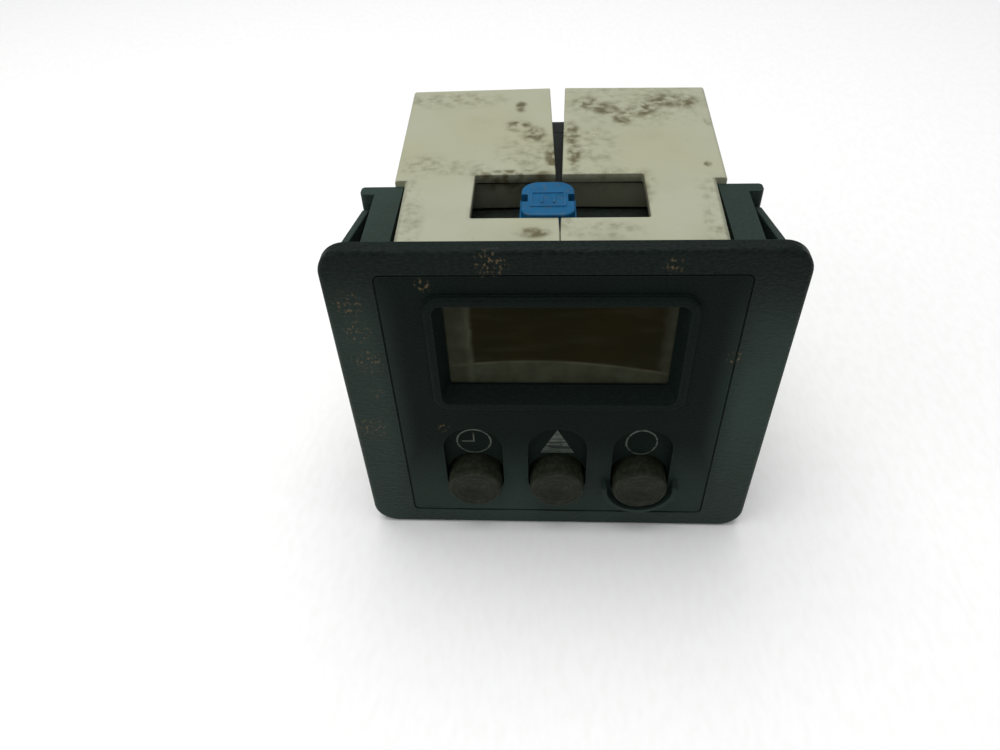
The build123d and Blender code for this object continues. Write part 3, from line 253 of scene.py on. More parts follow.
def overlap(tree, masks):
    """Several masks multiplied together."""
    total = masks[0]
    for mask in masks[1:]:
        total = add(tree, "Math", {"operation": "MULTIPLY"}, {"Value": total, "Value_001": mask})
    return total


def band(tree, value, middle, reach):
    """A mask that is full where value is middle and fades out at reach on either side."""
    away = add(tree, "Math", {"operation": "SUBTRACT"}, {"Value": value, "Value_001": middle})
    distance = add(tree, "Math", {"operation": "ABSOLUTE"}, {"Value": away})
    return add(tree, "MapRange", SMOOTH, {"Value": distance, "From Min": reach, "From Max": 0.0})


def painted_sheen_film(tree, coords):
    """A mask of dust-coloured haze laid as painted sheen: full at the sides below the top, on the low part
    of the front and behind the front, so that these look lit and the top stays dark.
    """
    axes = add(tree, "SeparateXYZ", {}, {"Vector": coords})
    x, y, z = axes.outputs
    beside = add(tree, "Math", {"operation": "ABSOLUTE"}, {"Value": x})
    outer = add(tree, "MapRange", SMOOTH, {"Value": beside, "From Min": 24.0, "From Max": 31.0})
    below_top = add(tree, "MapRange", SMOOTH, {"Value": z, "From Min": 32.0, "From Max": 14.0})
    low = add(tree, "MapRange", SMOOTH, {"Value": z, "From Min": -6.0, "From Max": -28.0})
    behind = add(tree, "MapRange", SMOOTH, {"Value": y, "From Min": 1.0, "From Max": 3.0})
    return gather(tree, [overlap(tree, [outer, below_top]), low, behind])


# ---- materials ------------------------------------------------------------------------------
def moulded_black_abs(name, base, grain, depth, dust_amount, sheen_film_amount, shine, marks):
    """Black ABS from a spark-eroded mould.

    The erosion gives a fine leathery grain that scatters highlights and holds pale dust; the mould's
    drawn sides leave faint level lines.
    """
    material, tree, shader, coords = surface(name, 0.52, 1.52)
    shader.inputs["Specular IOR Level"].default_value = shine
    cloud = speckle(tree, coords, 22.0, 0.35, 0.7)
    pores = speckle(tree, coords, grain, 0.35, 0.68, 4.0, (0.6, 1, 1))
    lines = speckle(tree, coords, grain * 1.6, 0.42, 0.62, 2.0, (0.35, 1, 1))
    lint = speckle(tree, coords, grain * 1.3, 0.7, 0.8, 5.0)
    lighter = tuple(1.7 * c for c in base)
    colour = tint(tree, base, lighter, cloud, 0.55)
    uneven = add(tree, "MapRange", {}, {"Value": cloud, "To Min": 0.65, "To Max": 1.0})
    # Painted sheen: a dust-coloured haze on the sides, the low front and the pieces behind it, lighter where
    # light falls.
    film = overlap(tree, [painted_sheen_film(tree, coords), uneven])
    colour = tint(tree, colour, colours().dust, film, sheen_film_amount)
    colour = tint(tree, colour, colours().dust, pores, dust_amount)
    colour = tint(tree, colour, colours().dust, lint, dust_amount * 2.2)
    colour = tint(tree, colour, colours().dust, edge_wear(tree), 0.12)
    crumbs = speckle(tree, coords, 0.5, 0.53, 0.66, 8.0, (1, 1, 0.7))
    rusty = gather(tree, [patch(tree, coords, centre, reach, crumbs) for centre, reach in marks])
    colour = tint(tree, colour, colours().rust, rusty, 0.75)
    tree.links.new(result(colour), shader.inputs["Base Color"])
    rough = add(tree, "MapRange", {}, {"Value": cloud, "To Min": 0.46, "To Max": 0.62})
    tree.links.new(rough.outputs["Result"], shader.inputs["Roughness"])
    fine = relief(tree, shader, pores, depth)
    relief(tree, shader, lines, depth * 0.8, fine)
    return material


def smoked_acrylic():
    """Cast acrylic lens, smoked brown: glossy and clear in its middle, filmed grey-green at its edge."""
    material, tree, shader, coords = surface("Smoked_acrylic_filmed", 0.22, 1.49)
    shader.inputs["Specular IOR Level"].default_value = 0.03
    low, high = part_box("display_lens")
    half = (high.x - low.x) / 2 / MM
    bottom = low.z / MM
    axes = add(tree, "SeparateXYZ", {}, {"Vector": coords})
    x, _, z = axes.outputs
    wander = speckle(tree, coords, 2.4, 0.2, 0.8, 4.0)
    across = add(tree, "Math", {"operation": "MULTIPLY_ADD"},
                 {"Value": wander, "Value_001": 0.45, "Value_002": x})
    left_film = add(tree, "MapRange", SMOOTH,
                    {"Value": across, "From Min": -half + 4.9, "From Max": -half + 4.0})
    right_film = add(tree, "MapRange", SMOOTH,
                     {"Value": across, "From Min": half - 3.2, "From Max": half - 0.6})
    bow = add(tree, "Math", {"operation": "MULTIPLY"}, {"Value": x, "Value_001": 0.09})
    arch = add(tree, "Math", {"operation": "COSINE"}, {"Value": bow})
    lean = add(tree, "Math", {"operation": "MULTIPLY_ADD"},
               {"Value": x, "Value_001": -0.05, "Value_002": bottom + 3.6})
    tide = add(tree, "Math", {"operation": "MULTIPLY_ADD"},
               {"Value": arch, "Value_001": 1.6, "Value_002": lean})
    above = add(tree, "Math", {"operation": "SUBTRACT"}, {"Value": z, "Value_001": tide})
    bottom_film = add(tree, "MapRange", SMOOTH, {"Value": above, "From Min": 0.25, "From Max": -0.25})
    film = gather(tree, [left_film, right_film, bottom_film])
    patchy = speckle(tree, coords, 3.5, 0.25, 0.75, 5.0)
    broken = add(tree, "MapRange", {}, {"Value": patchy, "To Min": 0.45, "To Max": 1.0})
    filmed = overlap(tree, [film, broken])
    streaks = speckle(tree, coords, 1.6, 0.45, 0.75, 3.0, (0.18, 1, 1))
    warm = tuple(c * f for c, f in zip(colours().lens_brown, (1.5, 1.2, 1.0)))
    glow = speckle(tree, coords, 16.0, 0.4, 0.65)
    colour = tint(tree, colours().lens_brown, warm, glow, 0.8)
    colour = tint(tree, colour, colours().lens_grime, streaks, 0.12)
    scum = gather(tree, [band(tree, across, -half + 4.6, 0.9), band(tree, above, 0.3, 0.6)])
    colour = tint(tree, colour, colours().scum, overlap(tree, [scum, broken]), 0.7)
    colour = tint(tree, colour, colours().lens_grime, filmed, 0.95)
    tree.links.new(result(colour), shader.inputs["Base Color"])
    rough = add(tree, "MapRange", {}, {"Value": filmed, "To Min": 0.16, "To Max": 0.6})
    tree.links.new(rough.outputs["Result"], shader.inputs["Roughness"])
    relief(tree, shader, streaks, 0.004)
    return material


def rubbed_key_rubber(name, crescent):
    """Silicone rubber key, pressed for years: turned rings of wear on the face, skin oil on its rim."""
    material, tree, shader, coords = surface(name, 0.62, 1.43)
    shader.inputs["Specular IOR Level"].default_value = 0.18
    axes = add(tree, "SeparateXYZ", {}, {"Vector": coords})
    flat = add(tree, "CombineXYZ", {}, {"X": axes.outputs["X"], "Z": axes.outputs["Z"]})
    radius = add(tree, "VectorMath", {"operation": "LENGTH"}, {"Vector": flat})
    wander = speckle(tree, coords, 2.0, 0.1, 0.9, 4.0)
    wavy = add(tree, "Math", {"operation": "MULTIPLY_ADD"},
               {"Value": wander, "Value_001": 1.1, "Value_002": radius.outputs["Value"]})
    turns = add(tree, "Math", {"operation": "MULTIPLY"},
                {"Value": wavy, "Value_001": 2 * math.pi / 0.62})
    wave = add(tree, "Math", {"operation": "SINE"}, {"Value": turns})
    rings = add(tree, "MapRange", {}, {"Value": wave, "From Min": -1.0, "From Max": 1.0})
    scuffs = speckle(tree, coords, 0.8, 0.42, 0.68, 6.0)
    blotch = speckle(tree, coords, 3.2, 0.38, 0.62)
    grime = tuple(0.45 * c for c in colours().key_grey)
    colour = tint(tree, colours().key_grey, colours().key_worn, rings, 0.35)
    colour = tint(tree, colour, colours().key_worn, scuffs, 0.5)
    colour = tint(tree, colour, grime, blotch, 0.45)
    pressed = patch(tree, coords, (crescent, 0, -0.6), 2.6, blotch, (1, 0.3, 1.6))
    colour = tint(tree, colour, grime, pressed, 0.6)
    colour = tint(tree, colour, colours().dust, edge_wear(tree), 0.25)
    tree.links.new(result(colour), shader.inputs["Base Color"])
    worn = relief(tree, shader, rings, 0.02)
    relief(tree, shader, scuffs, 0.035, worn)
    return material


def worn_pad_print():
    """Pale pad-printed ink: matt, thin, scratched through to the black beneath in level strokes."""
    material, tree, shader, coords = surface("Worn_pad_print", 0.6, 1.5)
    strokes = speckle(tree, coords, 0.9, 0.55, 0.62, 4.0, (0.16, 1, 1.3))
    chips = speckle(tree, coords, 0.5, 0.62, 0.7, 5.0)
    lost = gather(tree, [strokes, chips])
    tone = speckle(tree, coords, 1.5, 0.3, 0.7)
    faded = tuple(0.6 * c for c in colours().ink)
    colour = tint(tree, colours().ink, faded, tone, 0.8)
    colour = tint(tree, colour, colours().plate_black, lost, 0.9)
    tree.links.new(result(colour), shader.inputs["Base Color"])
    relief(tree, shader, lost, -0.01)
    return material


def opening_grime_and_shade(tree, coords):
    """Masks of the access opening's lip, of the strip near the bezel, and of the faces inside, the last
    being where shade is painted.
    """
    own = sizes()
    half_width = own.access_width / 2 / MM
    half_length = own.access_length / 2 / MM
    middle = own.access_front / MM + half_length
    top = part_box("right_shell")[1].z / MM
    axes = add(tree, "SeparateXYZ", {}, {"Vector": coords})
    x, y, z = axes.outputs
    beside = add(tree, "Math", {"operation": "ABSOLUTE"}, {"Value": x})
    from_middle = add(tree, "Math", {"operation": "SUBTRACT"}, {"Value": y, "Value_001": middle})
    along = add(tree, "Math", {"operation": "ABSOLUTE"}, {"Value": from_middle})
    past_side = add(tree, "Math", {"operation": "SUBTRACT"}, {"Value": beside, "Value_001": half_width})
    past_end = add(tree, "Math", {"operation": "SUBTRACT"}, {"Value": along, "Value_001": half_length})
    lip = band(tree, gather(tree, [past_side, past_end]), 0.1, 0.8)
    near_bezel = add(tree, "MapRange", SMOOTH, {"Value": y, "From Min": 15.0, "From Max": 5.0})
    within = add(tree, "MapRange", SMOOTH, {"Value": beside, "From Min": 17.8, "From Max": 17.0})
    ahead = add(tree, "MapRange", SMOOTH, {"Value": y, "From Min": 41.0, "From Max": 39.0})
    under = add(tree, "MapRange", SMOOTH, {"Value": z, "From Min": top - 0.2, "From Max": top - 1.4})
    return lip, near_bezel, overlap(tree, [within, ahead, under])


def soiled_cream_abs(name, marks, fades):
    """Cream ABS housing moulding: satin, yellowed, with rubbed-in brown dirt where it was handled, and
    painted shade on the faces inside the access opening.
    """
    material, tree, shader, coords = surface(name, 0.5, 1.52)
    age = speckle(tree, coords, 26.0, 0.35, 0.7)
    yellow = tuple(c * f for c, f in zip(colours().cream, (0.97, 0.95, 0.86)))
    colour = tint(tree, colours().cream, yellow, age)
    film = speckle(tree, coords, 9.0, 0.45, 0.8, 5.0)
    colour = tint(tree, colour, colours().smudge, film, 0.1)
    swirl = add(tree, "TexNoise", {},
                {"Vector": coords, "Scale": 1 / 2.1, "Detail": 8.0, "Distortion": 0.25})
    drag = add(tree, "MapRange", SMOOTH, {"Value": swirl, "From Min": 0.33, "From Max": 0.64})
    scrub = add(tree, "TexNoise", {},
                {"Vector": coords, "Scale": 1 / 1.7, "Detail": 10.0, "Roughness": 0.62})
    crumbs = add(tree, "MapRange", SMOOTH, {"Value": scrub, "From Min": 0.38, "From Max": 0.78})
    heavy = gather(tree, [patch(tree, coords, centre, reach, drag, stretch)
                          for centre, reach, stretch in marks])
    faint = gather(tree, [patch(tree, coords, centre, reach, crumbs, stretch)
                          for centre, reach, stretch in fades])
    colour = tint(tree, colour, colours().smudge, faint, 0.55)
    colour = tint(tree, colour, colours().smudge, heavy, 1.0)
    specks = speckle(tree, coords, 0.7, 0.72, 0.78, 4.0)
    colour = tint(tree, colour, colours().smudge, specks, 0.5)
    lip, near_bezel, recess_shade = opening_grime_and_shade(tree, coords)
    colour = tint(tree, colour, colours().smudge, overlap(tree, [lip, film]), 0.9)
    aged = add(tree, "MapRange", SMOOTH, {"Value": age, "From Min": 0.0, "From Max": 0.8})
    colour = tint(tree, colour, colours().smudge, overlap(tree, [near_bezel, aged]), 0.2)
    # Painted shade on the faces inside the access opening.
    colour = tint(tree, colour, colours().recess_shade, recess_shade, 0.55)
    tree.links.new(result(colour), shader.inputs["Base Color"])
    skin = speckle(tree, coords, 0.5, 0.3, 0.7, 3.0)
    fine = relief(tree, shader, skin, 0.006)
    relief(tree, shader, heavy, 0.02, fine)
    return material


def handled_blue_nylon():
    """Blue nylon plug: satin moulding with a soft sheen, grime in its corners and a rubbed top."""
    material, tree, shader, coords = surface("Handled_blue_nylon", 0.42, 1.53)
    shader.inputs["Specular IOR Level"].default_value = 0.15
    cloud = speckle(tree, coords, 3.5, 0.35, 0.7)
    dark = tuple(0.6 * c for c in colours().plug_blue)
    pale = tuple(min(1.0, 1.35 * c + 0.02) for c in colours().plug_blue)
    grime = speckle(tree, coords, 1.0, 0.5, 0.72, 6.0)
    colour = tint(tree, colours().plug_blue, dark, cloud, 0.5)
    colour = tint(tree, colour, pale, edge_wear(tree), 0.5)
    colour = tint(tree, colour, colours().smudge, grime, 0.28)
    tree.links.new(result(colour), shader.inputs["Base Color"])
    relief(tree, shader, grime, 0.012)
    return material


def moulded_polymer(name, colour, grain, depth, roughness, ior=1.5):
    """An inner moulding or dipped coat: even colour with a cloudy skin and a little dust on it."""
    material, tree, shader, coords = surface(name, roughness, ior)
    shader.inputs["Specular IOR Level"].default_value = 0.25
    cloud = speckle(tree, coords, 7.0, 0.3, 0.7)
    skin = speckle(tree, coords, grain, 0.35, 0.65, 4.0)
    darker = tuple(0.7 * c for c in colour)
    mixed = tint(tree, colour, darker, cloud)
    mixed = tint(tree, mixed, colours().dust, skin, 0.08)
    tree.links.new(result(mixed), shader.inputs["Base Color"])
    relief(tree, shader, skin, depth)
    return material


def drawn_metal(name, colour, line, roughness, stretch):
    """A bare or plated metal part: fine lines along the way it was drawn or stamped, and dull spots."""
    material, tree, shader, coords = surface(name, roughness, metallic=1.0)
    lines = speckle(tree, coords, line, 0.35, 0.65, 4.0, stretch)
    spots = speckle(tree, coords, 2.0, 0.55, 0.72, 5.0)
    dull = tuple(0.45 * c for c in linear(colour))
    mixed = tint(tree, linear(colour), dull, spots, 0.7)
    mixed = tint(tree, mixed, dull, lines, 0.25)
    tree.links.new(result(mixed), shader.inputs["Base Color"])
    rough = add(tree, "MapRange", {},
                {"Value": spots, "To Min": roughness, "To Max": roughness + 0.25})
    tree.links.new(rough.outputs["Result"], shader.inputs["Roughness"])
    relief(tree, shader, lines, 0.004)
    return material


def banded(name, first, second, pitch, axis, roughness, metallic=0.0):
    """A part built of thin layers or turns, which show as fine bands along one axis."""
    material, tree, shader, coords = surface(name, roughness, metallic=metallic)
    axes = add(tree, "SeparateXYZ", {}, {"Vector": coords})
    phase = add(tree, "Math", {"operation": "MULTIPLY"},
                {"Value": axes.outputs[axis], "Value_001": 2 * math.pi / pitch})
    wave = add(tree, "Math", {"operation": "SINE"}, {"Value": phase})
    bands = add(tree, "MapRange", SMOOTH, {"Value": wave, "From Min": -0.5, "From Max": 0.5})
    stains = speckle(tree, coords, 3.0, 0.5, 0.7, 4.0)
    mixed = tint(tree, linear(first), linear(second), bands, 0.8)
    mixed = tint(tree, mixed, linear(second), stains, 0.4)
    tree.links.new(result(mixed), shader.inputs["Base Color"])
    relief(tree, shader, bands, 0.05)
    return material


def solder_masked_board():
    """Glass-epoxy board under green solder mask: the weave shows faintly, with copper tracks beneath."""
    material, tree, shader, coords = surface("Solder_masked_glass_epoxy", 0.35, 1.55)
    weave = add(tree, "TexWave", {"wave_type": "BANDS", "bands_direction": "DIAGONAL"},
                {"Vector": coords, "Scale": 0.8, "Distortion": 0.5})
    tracks = add(tree, "TexBrick", {}, {"Vector": coords, "Scale": 0.16, "Mortar Size": 0.035, **GRID})
    green, bright = linear("#1d4a29"), linear("#3f7a45")
    mixed = tint(tree, green, bright, tracks.outputs["Color"], 0.8)
    mixed = tint(tree, mixed, bright, weave.outputs["Color"], 0.12)
    tree.links.new(result(mixed), shader.inputs["Base Color"])
    relief(tree, shader, tracks.outputs["Color"], 0.03)
    return material


def display_cell_glass():
    """Liquid-crystal cell: polished glass over a brown-grey field, with faint unlit bars in it."""
    material, tree, shader, coords = surface("Liquid_crystal_cell", 0.12, 1.52)
    bars = add(tree, "TexBrick", {"offset": 0.0},
               {"Vector": coords, "Scale": 0.22, "Mortar Size": 0.05, **GRID})
    cloud = speckle(tree, coords, 9.0, 0.35, 0.65)
    mixed = tint(tree, linear("#4a4431"), linear("#38331f"), cloud)
    mixed = tint(tree, mixed, linear("#2c2818"), bars.outputs["Color"], 0.35)
    tree.links.new(result(mixed), shader.inputs["Base Color"])
    return material


def studio_paper():
    """Seamless white paper for the floor: matt, with a faint fibre."""
    material, tree, shader, coords = surface("Seamless_white_paper", 0.9, 1.5)
    fibre = speckle(tree, coords, 1.5, 0.3, 0.7, 4.0, (1, 0.4, 1))
    mixed = tint(tree, linear("#fbfbfa"), linear("#f6f6f4"), fibre, 0.6)
    tree.links.new(result(mixed), shader.inputs["Base Color"])
    relief(tree, shader, fibre, 0.01)
    return material


# ---- mesh tools -----------------------------------------------------------------------------
def finished(piece):
    """The piece shaded smooth up to its sharp edges, with its modifiers applied."""
    piece.data.shade_smooth()
    piece.data.set_sharp_from_angle(angle=SHARP_ANGLE)
    bpy.context.view_layer.update()
    evaluated = piece.evaluated_get(bpy.context.evaluated_depsgraph_get())
    piece.data = bpy.data.meshes.new_from_object(evaluated)
    piece.modifiers.clear()
    flatten_wide_faces(piece.data)
    return piece


def flatten_wide_faces(mesh_data):
    """Shades wide flat faces flat, so that the rounds beside them don't bend their shading."""
    wide, near_one = 1.2 * MM, 0.9999
    for face in mesh_data.polygons:
        corners = [mesh_data.vertices[index].co for index in face.vertices]
        sides = zip(corners, corners[1:] + corners[:1])
        shortest = min((first - second).length for first, second in sides)
        level = max(abs(part) for part in face.normal) > near_one
        if level or len(corners) > 4 or shortest > wide:
            face.use_smooth = False


def new_piece(name, mesh_data, material, body):
    """A piece of the timer in the scene, riding on its body, with its finish."""
    mesh_data.materials.clear()
    mesh_data.materials.append(material)
    piece = bpy.data.objects.new(name, mesh_data)
    bpy.context.scene.collection.objects.link(piece)
    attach(piece, body)
    return piece


def softened(node, material, softness, body="housing"):
    """Stands for a CAD node: the same shape with its sharp moulded edges worn round."""
    cleaned = bmesh.new()
    cleaned.from_mesh(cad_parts[node].data)
    bmesh.ops.remove_doubles(cleaned, verts=cleaned.verts, dist=0.002 * MM)
    bmesh.ops.dissolve_limit(cleaned, angle_limit=math.radians(0.3), verts=cleaned.verts,
                             edges=cleaned.edges)
    mesh_data = bpy.data.meshes.new(node + "_worn")
    cleaned.to_mesh(mesh_data)
    cleaned.free()
    piece = new_piece(node + "_worn", mesh_data, material, body)
    bevel = piece.modifiers.new("Worn edges", "BEVEL")
    bevel.width = softness
    bevel.segments = 2
    bevel.limit_method = "ANGLE"
    bevel.angle_limit = SHARP_ANGLE
    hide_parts(node)
    return finished(piece)


def give(node, material):
    """Puts a finish on a CAD node that stays as it is."""
    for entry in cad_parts[node].material_slots:
        entry.material = material


def prism(name, loops, depth, place, material):
    """A thin printed shape: closed loops in X and Z, one face per pair of loops or single loop."""
    shape = bmesh.new()
    for outer, inner in loops:
        rows = []
        for y in (0, -depth):
            rows.append([[shape.verts.new((x, y, z)) for x, z in loop] for loop in (outer, inner) if loop])
        for front, loop_rows in ((False, rows[0]), (True, rows[1])):
            if inner:
                count = len(outer)
                for i in range(count):
                    j = (i + 1) % count
                    quad = (loop_rows[0][i], loop_rows[0][j], loop_rows[1][j], loop_rows[1][i])
                    shape.faces.new(quad if front else quad[::-1])
            else:
                shape.faces.new(loop_rows[0] if front else loop_rows[0][::-1])
        for k in range(2 if inner else 1):
            count = len(rows[0][k])
            for i in range(count):
                j = (i + 1) % count
                shape.faces.new((rows[0][k][i], rows[0][k][j], rows[1][k][j], rows[1][k][i]))
    bmesh.ops.recalc_face_normals(shape, faces=shape.faces)
    mesh_data = bpy.data.meshes.new(name)
    shape.to_mesh(mesh_data)
    shape.free()
    mesh_data.transform(Matrix.Translation(place))
    return new_piece(name, mesh_data, material, "housing")


def oval(width, height, count=72, wobble=0.0, seed=0):
    """Points round an oval, counter-clockwise, with a slight wobble in its radius."""
    draw = random.Random(seed)
    points = []
    for i in range(count):
        angle = 2 * math.pi * i / count
        grow = 1 + wobble * draw.uniform(-1, 1)
        points.append((width / 2 * grow * math.cos(angle), height / 2 * grow * math.sin(angle)))
    return points


def rounded_frame(low, high, grow, corner, steps=6):
    """Points round the X and Z box from low to high, grown on each side, with round corners."""
    points = []
    for quarter, (x, z) in enumerate(((high.x, high.z), (low.x, high.z), (low.x, low.z), (high.x, low.z))):
        inward_x = math.copysign(corner, x)
        inward_z = math.copysign(corner, z)
        for step in range(steps + 1):
            angle = math.pi / 2 * (quarter + step / steps)
            points.append((x - inward_x + (corner + grow) * math.cos(angle),
                           z - inward_z + (corner + grow) * math.sin(angle)))
    return points


# ---- pieces ---------------------------------------------------------------------------------
def key_centre(side):
    """Middle of a key's face in X and Z, and the face's Y."""
    low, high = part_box(side + "_key")
    return Vector(((low.x + high.x) / 2, low.y, (low.z + high.z) / 2))


class TIMER_OT_front(bpy.types.Operator):
    """Bezel with its side arms, clip leaves, inner plate and the guard round the right key"""
    bl_idname = "timer.front"
    bl_label = "Front"

    def execute(self, context):
        marks = [((-31.0, -2.5, 11.0), 3.4), ((-33.0, -2.5, -5.0), 3.4), ((-31.8, -2.5, 17.5), 3.0),
                 ((-10.2, -2.5, 30.3), 3.2), ((-32.4, -2.5, 23.0), 3.2), ((-20.5, -2.5, 26.6), 1.6),
                 ((16.0, -2.5, 30.0), 2.0), ((-30.5, -2.5, 4.0), 1.6), ((27.5, -2.5, 12.0), 1.8),
                 ((19.5, -2.5, -12.5), 1.6), ((-20.0, -2.5, -5.0), 1.4)]
        bezel = moulded_black_abs("Spark_eroded_black_ABS", colours().bezel_black, grain=0.42, depth=0.045,
                                  dust_amount=0.05, sheen_film_amount=0.28, shine=0.07, marks=marks)
        plate = moulded_black_abs("Fine_matt_black_ABS", colours().plate_black, grain=0.26, depth=0.02,
                                  dust_amount=0.03, sheen_film_amount=0.32, shine=0.05, marks=marks)
        own = context.scene.timer_sizes
        softness = own.edge_softness
        softened("bezel", bezel, softness)
        softened("front_plate", plate, softness)
        for clip in ("left_clip", "right_clip"):
            softened(clip + "_leaf", bezel, softness, clip)
        softened("key_guard", plate, own.sheet_softness)
        low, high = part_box("front_plate")
        corner = own.groove_corner
        loops = [(rounded_frame(low, high, own.groove, corner), rounded_frame(low, high, 0, corner))]
        dust = moulded_polymer("Packed_dust", colours().packed_dust, 0.3, 0.03, 0.9)
        place = Vector((0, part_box("bezel")[0].y + own.groove_fill + own.groove_dust, 0))
        prism("groove_dust", loops, own.groove_dust, place, dust)
        return {"FINISHED"}


class TIMER_OT_display(bpy.types.Operator):
    """Smoked lens with its film of grime, and the display cell behind it"""
    bl_idname = "timer.display"
    bl_label = "Display"

    def execute(self, context):
        softened("display_lens", smoked_acrylic(), context.scene.timer_sizes.sheet_softness)
        give("display_glass", display_cell_glass())
        return {"FINISHED"}


def key_profile(side):
    """Radius and depth of a key from the middle of its face back to its stem."""
    own = sizes()
    low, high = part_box(side + "_key")
    radius = own.key_diameter / 2
    rim = radius - own.key_edge
    points = []
    for i in range(1, FACE_RINGS + 1):
        share = i / FACE_RINGS
        r = rim * share
        ridge = own.key_ridge * math.exp(-((r - own.key_wear_ring) / own.key_ridge_width) ** 2)
        points.append((r, own.key_dish * (1 - share ** 2) - ridge))
    for i in range(1, EDGE_RINGS + 1):
        angle = math.pi / 2 * i / EDGE_RINGS
        points.append((rim + own.key_edge * math.sin(angle), own.key_edge * (1 - math.cos(angle))))
    flare, flare_length = 0.05 * MM, 0.15 * MM
    flange = (high.x - low.x) / 2
    end = high.y - low.y
    back = end - own.key_stem_length
    return points + [(radius, own.key_skirt - flare_length), (radius + flare, own.key_skirt),
                     (flange, own.key_skirt), (flange, back), (own.key_stem, back), (own.key_stem, end)]


def key_dents(side):
    """Places on a key's rim where rubber is torn or pressed in: angle, half-width and depth."""
    return {"left": [(0.4, 0.25, 0.12)], "middle": [(math.pi * 1.22, 0.16, 0.5), (math.pi * 1.33, 0.1, 0.3)],
            "right": [(2.6, 0.3, 0.14), (math.pi * 1.6, 0.2, 0.18)]}[side]


def turned_key(side, material):
    """A key turned from its profile, with a dished, worn face and nicks in its rim."""
    shape = bmesh.new()
    count = 96
    profile = key_profile(side)
    rim = sizes().key_diameter / 2
    centre = shape.verts.new((0, sizes().key_dish, 0))
    draw = random.Random("key " + side)
    bumps = [(draw.uniform(0, 2 * math.pi), draw.uniform(0.8, 4.0) * MM, draw.uniform(0.4, 1.2) * MM,
              draw.uniform(-0.07, 0.05) * MM) for _ in range(26)]
    rings = []
    for index, (radius, depth) in enumerate(profile):
        ring = []
        for i in range(count):
            angle = 2 * math.pi * i / count
            x, z = radius * math.cos(angle), radius * math.sin(angle)
            y = depth
            if index < FACE_RINGS + EDGE_RINGS:
                for at, reach, size, height in bumps:
                    gap = math.hypot(x - reach * math.cos(at), z - reach * math.sin(at))
                    y -= height * math.exp(-(gap / size) ** 2)
                for at, half, deep in key_dents(side):
                    turn = math.atan2(math.sin(angle - at), math.cos(angle - at))
                    nick = math.exp(-(turn / half) ** 2) * max(0.0, radius / rim - 0.78) / 0.22
                    y += deep * MM * nick
                y = max(y, 0.0)
            ring.append(shape.verts.new((x, y, z)))
        rings.append(ring)
    for i in range(count):
        shape.faces.new((centre, rings[0][i], rings[0][(i + 1) % count]))
    for first, second in zip(rings, rings[1:]):
        for i in range(count):
            j = (i + 1) % count
            shape.faces.new((first[i], second[i], second[j], first[j]))
    shape.faces.new(rings[-1])
    bmesh.ops.recalc_face_normals(shape, faces=shape.faces)
    mesh_data = bpy.data.meshes.new(side + "_key_worn")
    shape.to_mesh(mesh_data)
    shape.free()
    piece = bpy.data.objects.new(side + "_key_worn", mesh_data)
    bpy.context.scene.collection.objects.link(piece)
    mesh_data.materials.append(material)
    piece.location = key_centre(side)
    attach(piece, side + "_key")
    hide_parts(side + "_key")
    return finished(piece)


class TIMER_OT_keys(bpy.types.Operator):
    """The three worn rubber keys"""
    bl_idname = "timer.keys"
    bl_label = "Keys"

    def execute(self, context):
        for side, crescent in zip(KEY_SIDES, (-0.4, 0.3, 0.9)):
            turned_key(side, rubbed_key_rubber("Rubbed_silicone_" + side, crescent))
        return {"FINISHED"}


class TIMER_OT_symbols(bpy.types.Operator):
    """The printed clock, triangle and ring above the keys"""
    bl_idname = "timer.symbols"
    bl_label = "Symbols"

    def execute(self, context):
        own = context.scene.timer_sizes
        ink = worn_pad_print()
        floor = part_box("bezel")[0].y + own.recess_floor
        line = own.symbol_line
        places = {}
        for side in KEY_SIDES:
            centre = key_centre(side)
            places[side] = Vector((centre.x, floor, centre.z + own.symbol_rise))
        clock = own.clock_width
        hand = line * 0.85
        upright = [(-hand / 2, -hand / 2), (hand / 2, -hand / 2),
                   (hand / 2, own.clock_minute), (-hand / 2, own.clock_minute)]
        level = [(-own.clock_hour, -hand / 2), (-hand / 2, -hand / 2),
                 (-hand / 2, hand / 2), (-own.clock_hour, hand / 2)]
        face = (oval(clock, clock), oval(clock - 2 * line, clock - 2 * line))
        triangle = [(-own.triangle_half, -own.triangle_below), (own.triangle_half, -own.triangle_below),
                    (0, own.triangle_above)]
        outer = oval(own.ring_width, own.ring_height, wobble=0.012, seed=4)
        inner = oval(own.ring_width - 2 * line, own.ring_height - 2 * line, wobble=0.02, seed=5)
        shapes = {"clock": ("left", [face, (upright, None), (level, None)]),
                  "triangle": ("middle", [(triangle, None)]),
                  "ring": ("right", [(outer, inner)])}
        for name, (side, loops) in shapes.items():
            prism(name + "_symbol", loops, own.symbol_print, places[side], ink)
        return {"FINISHED"}


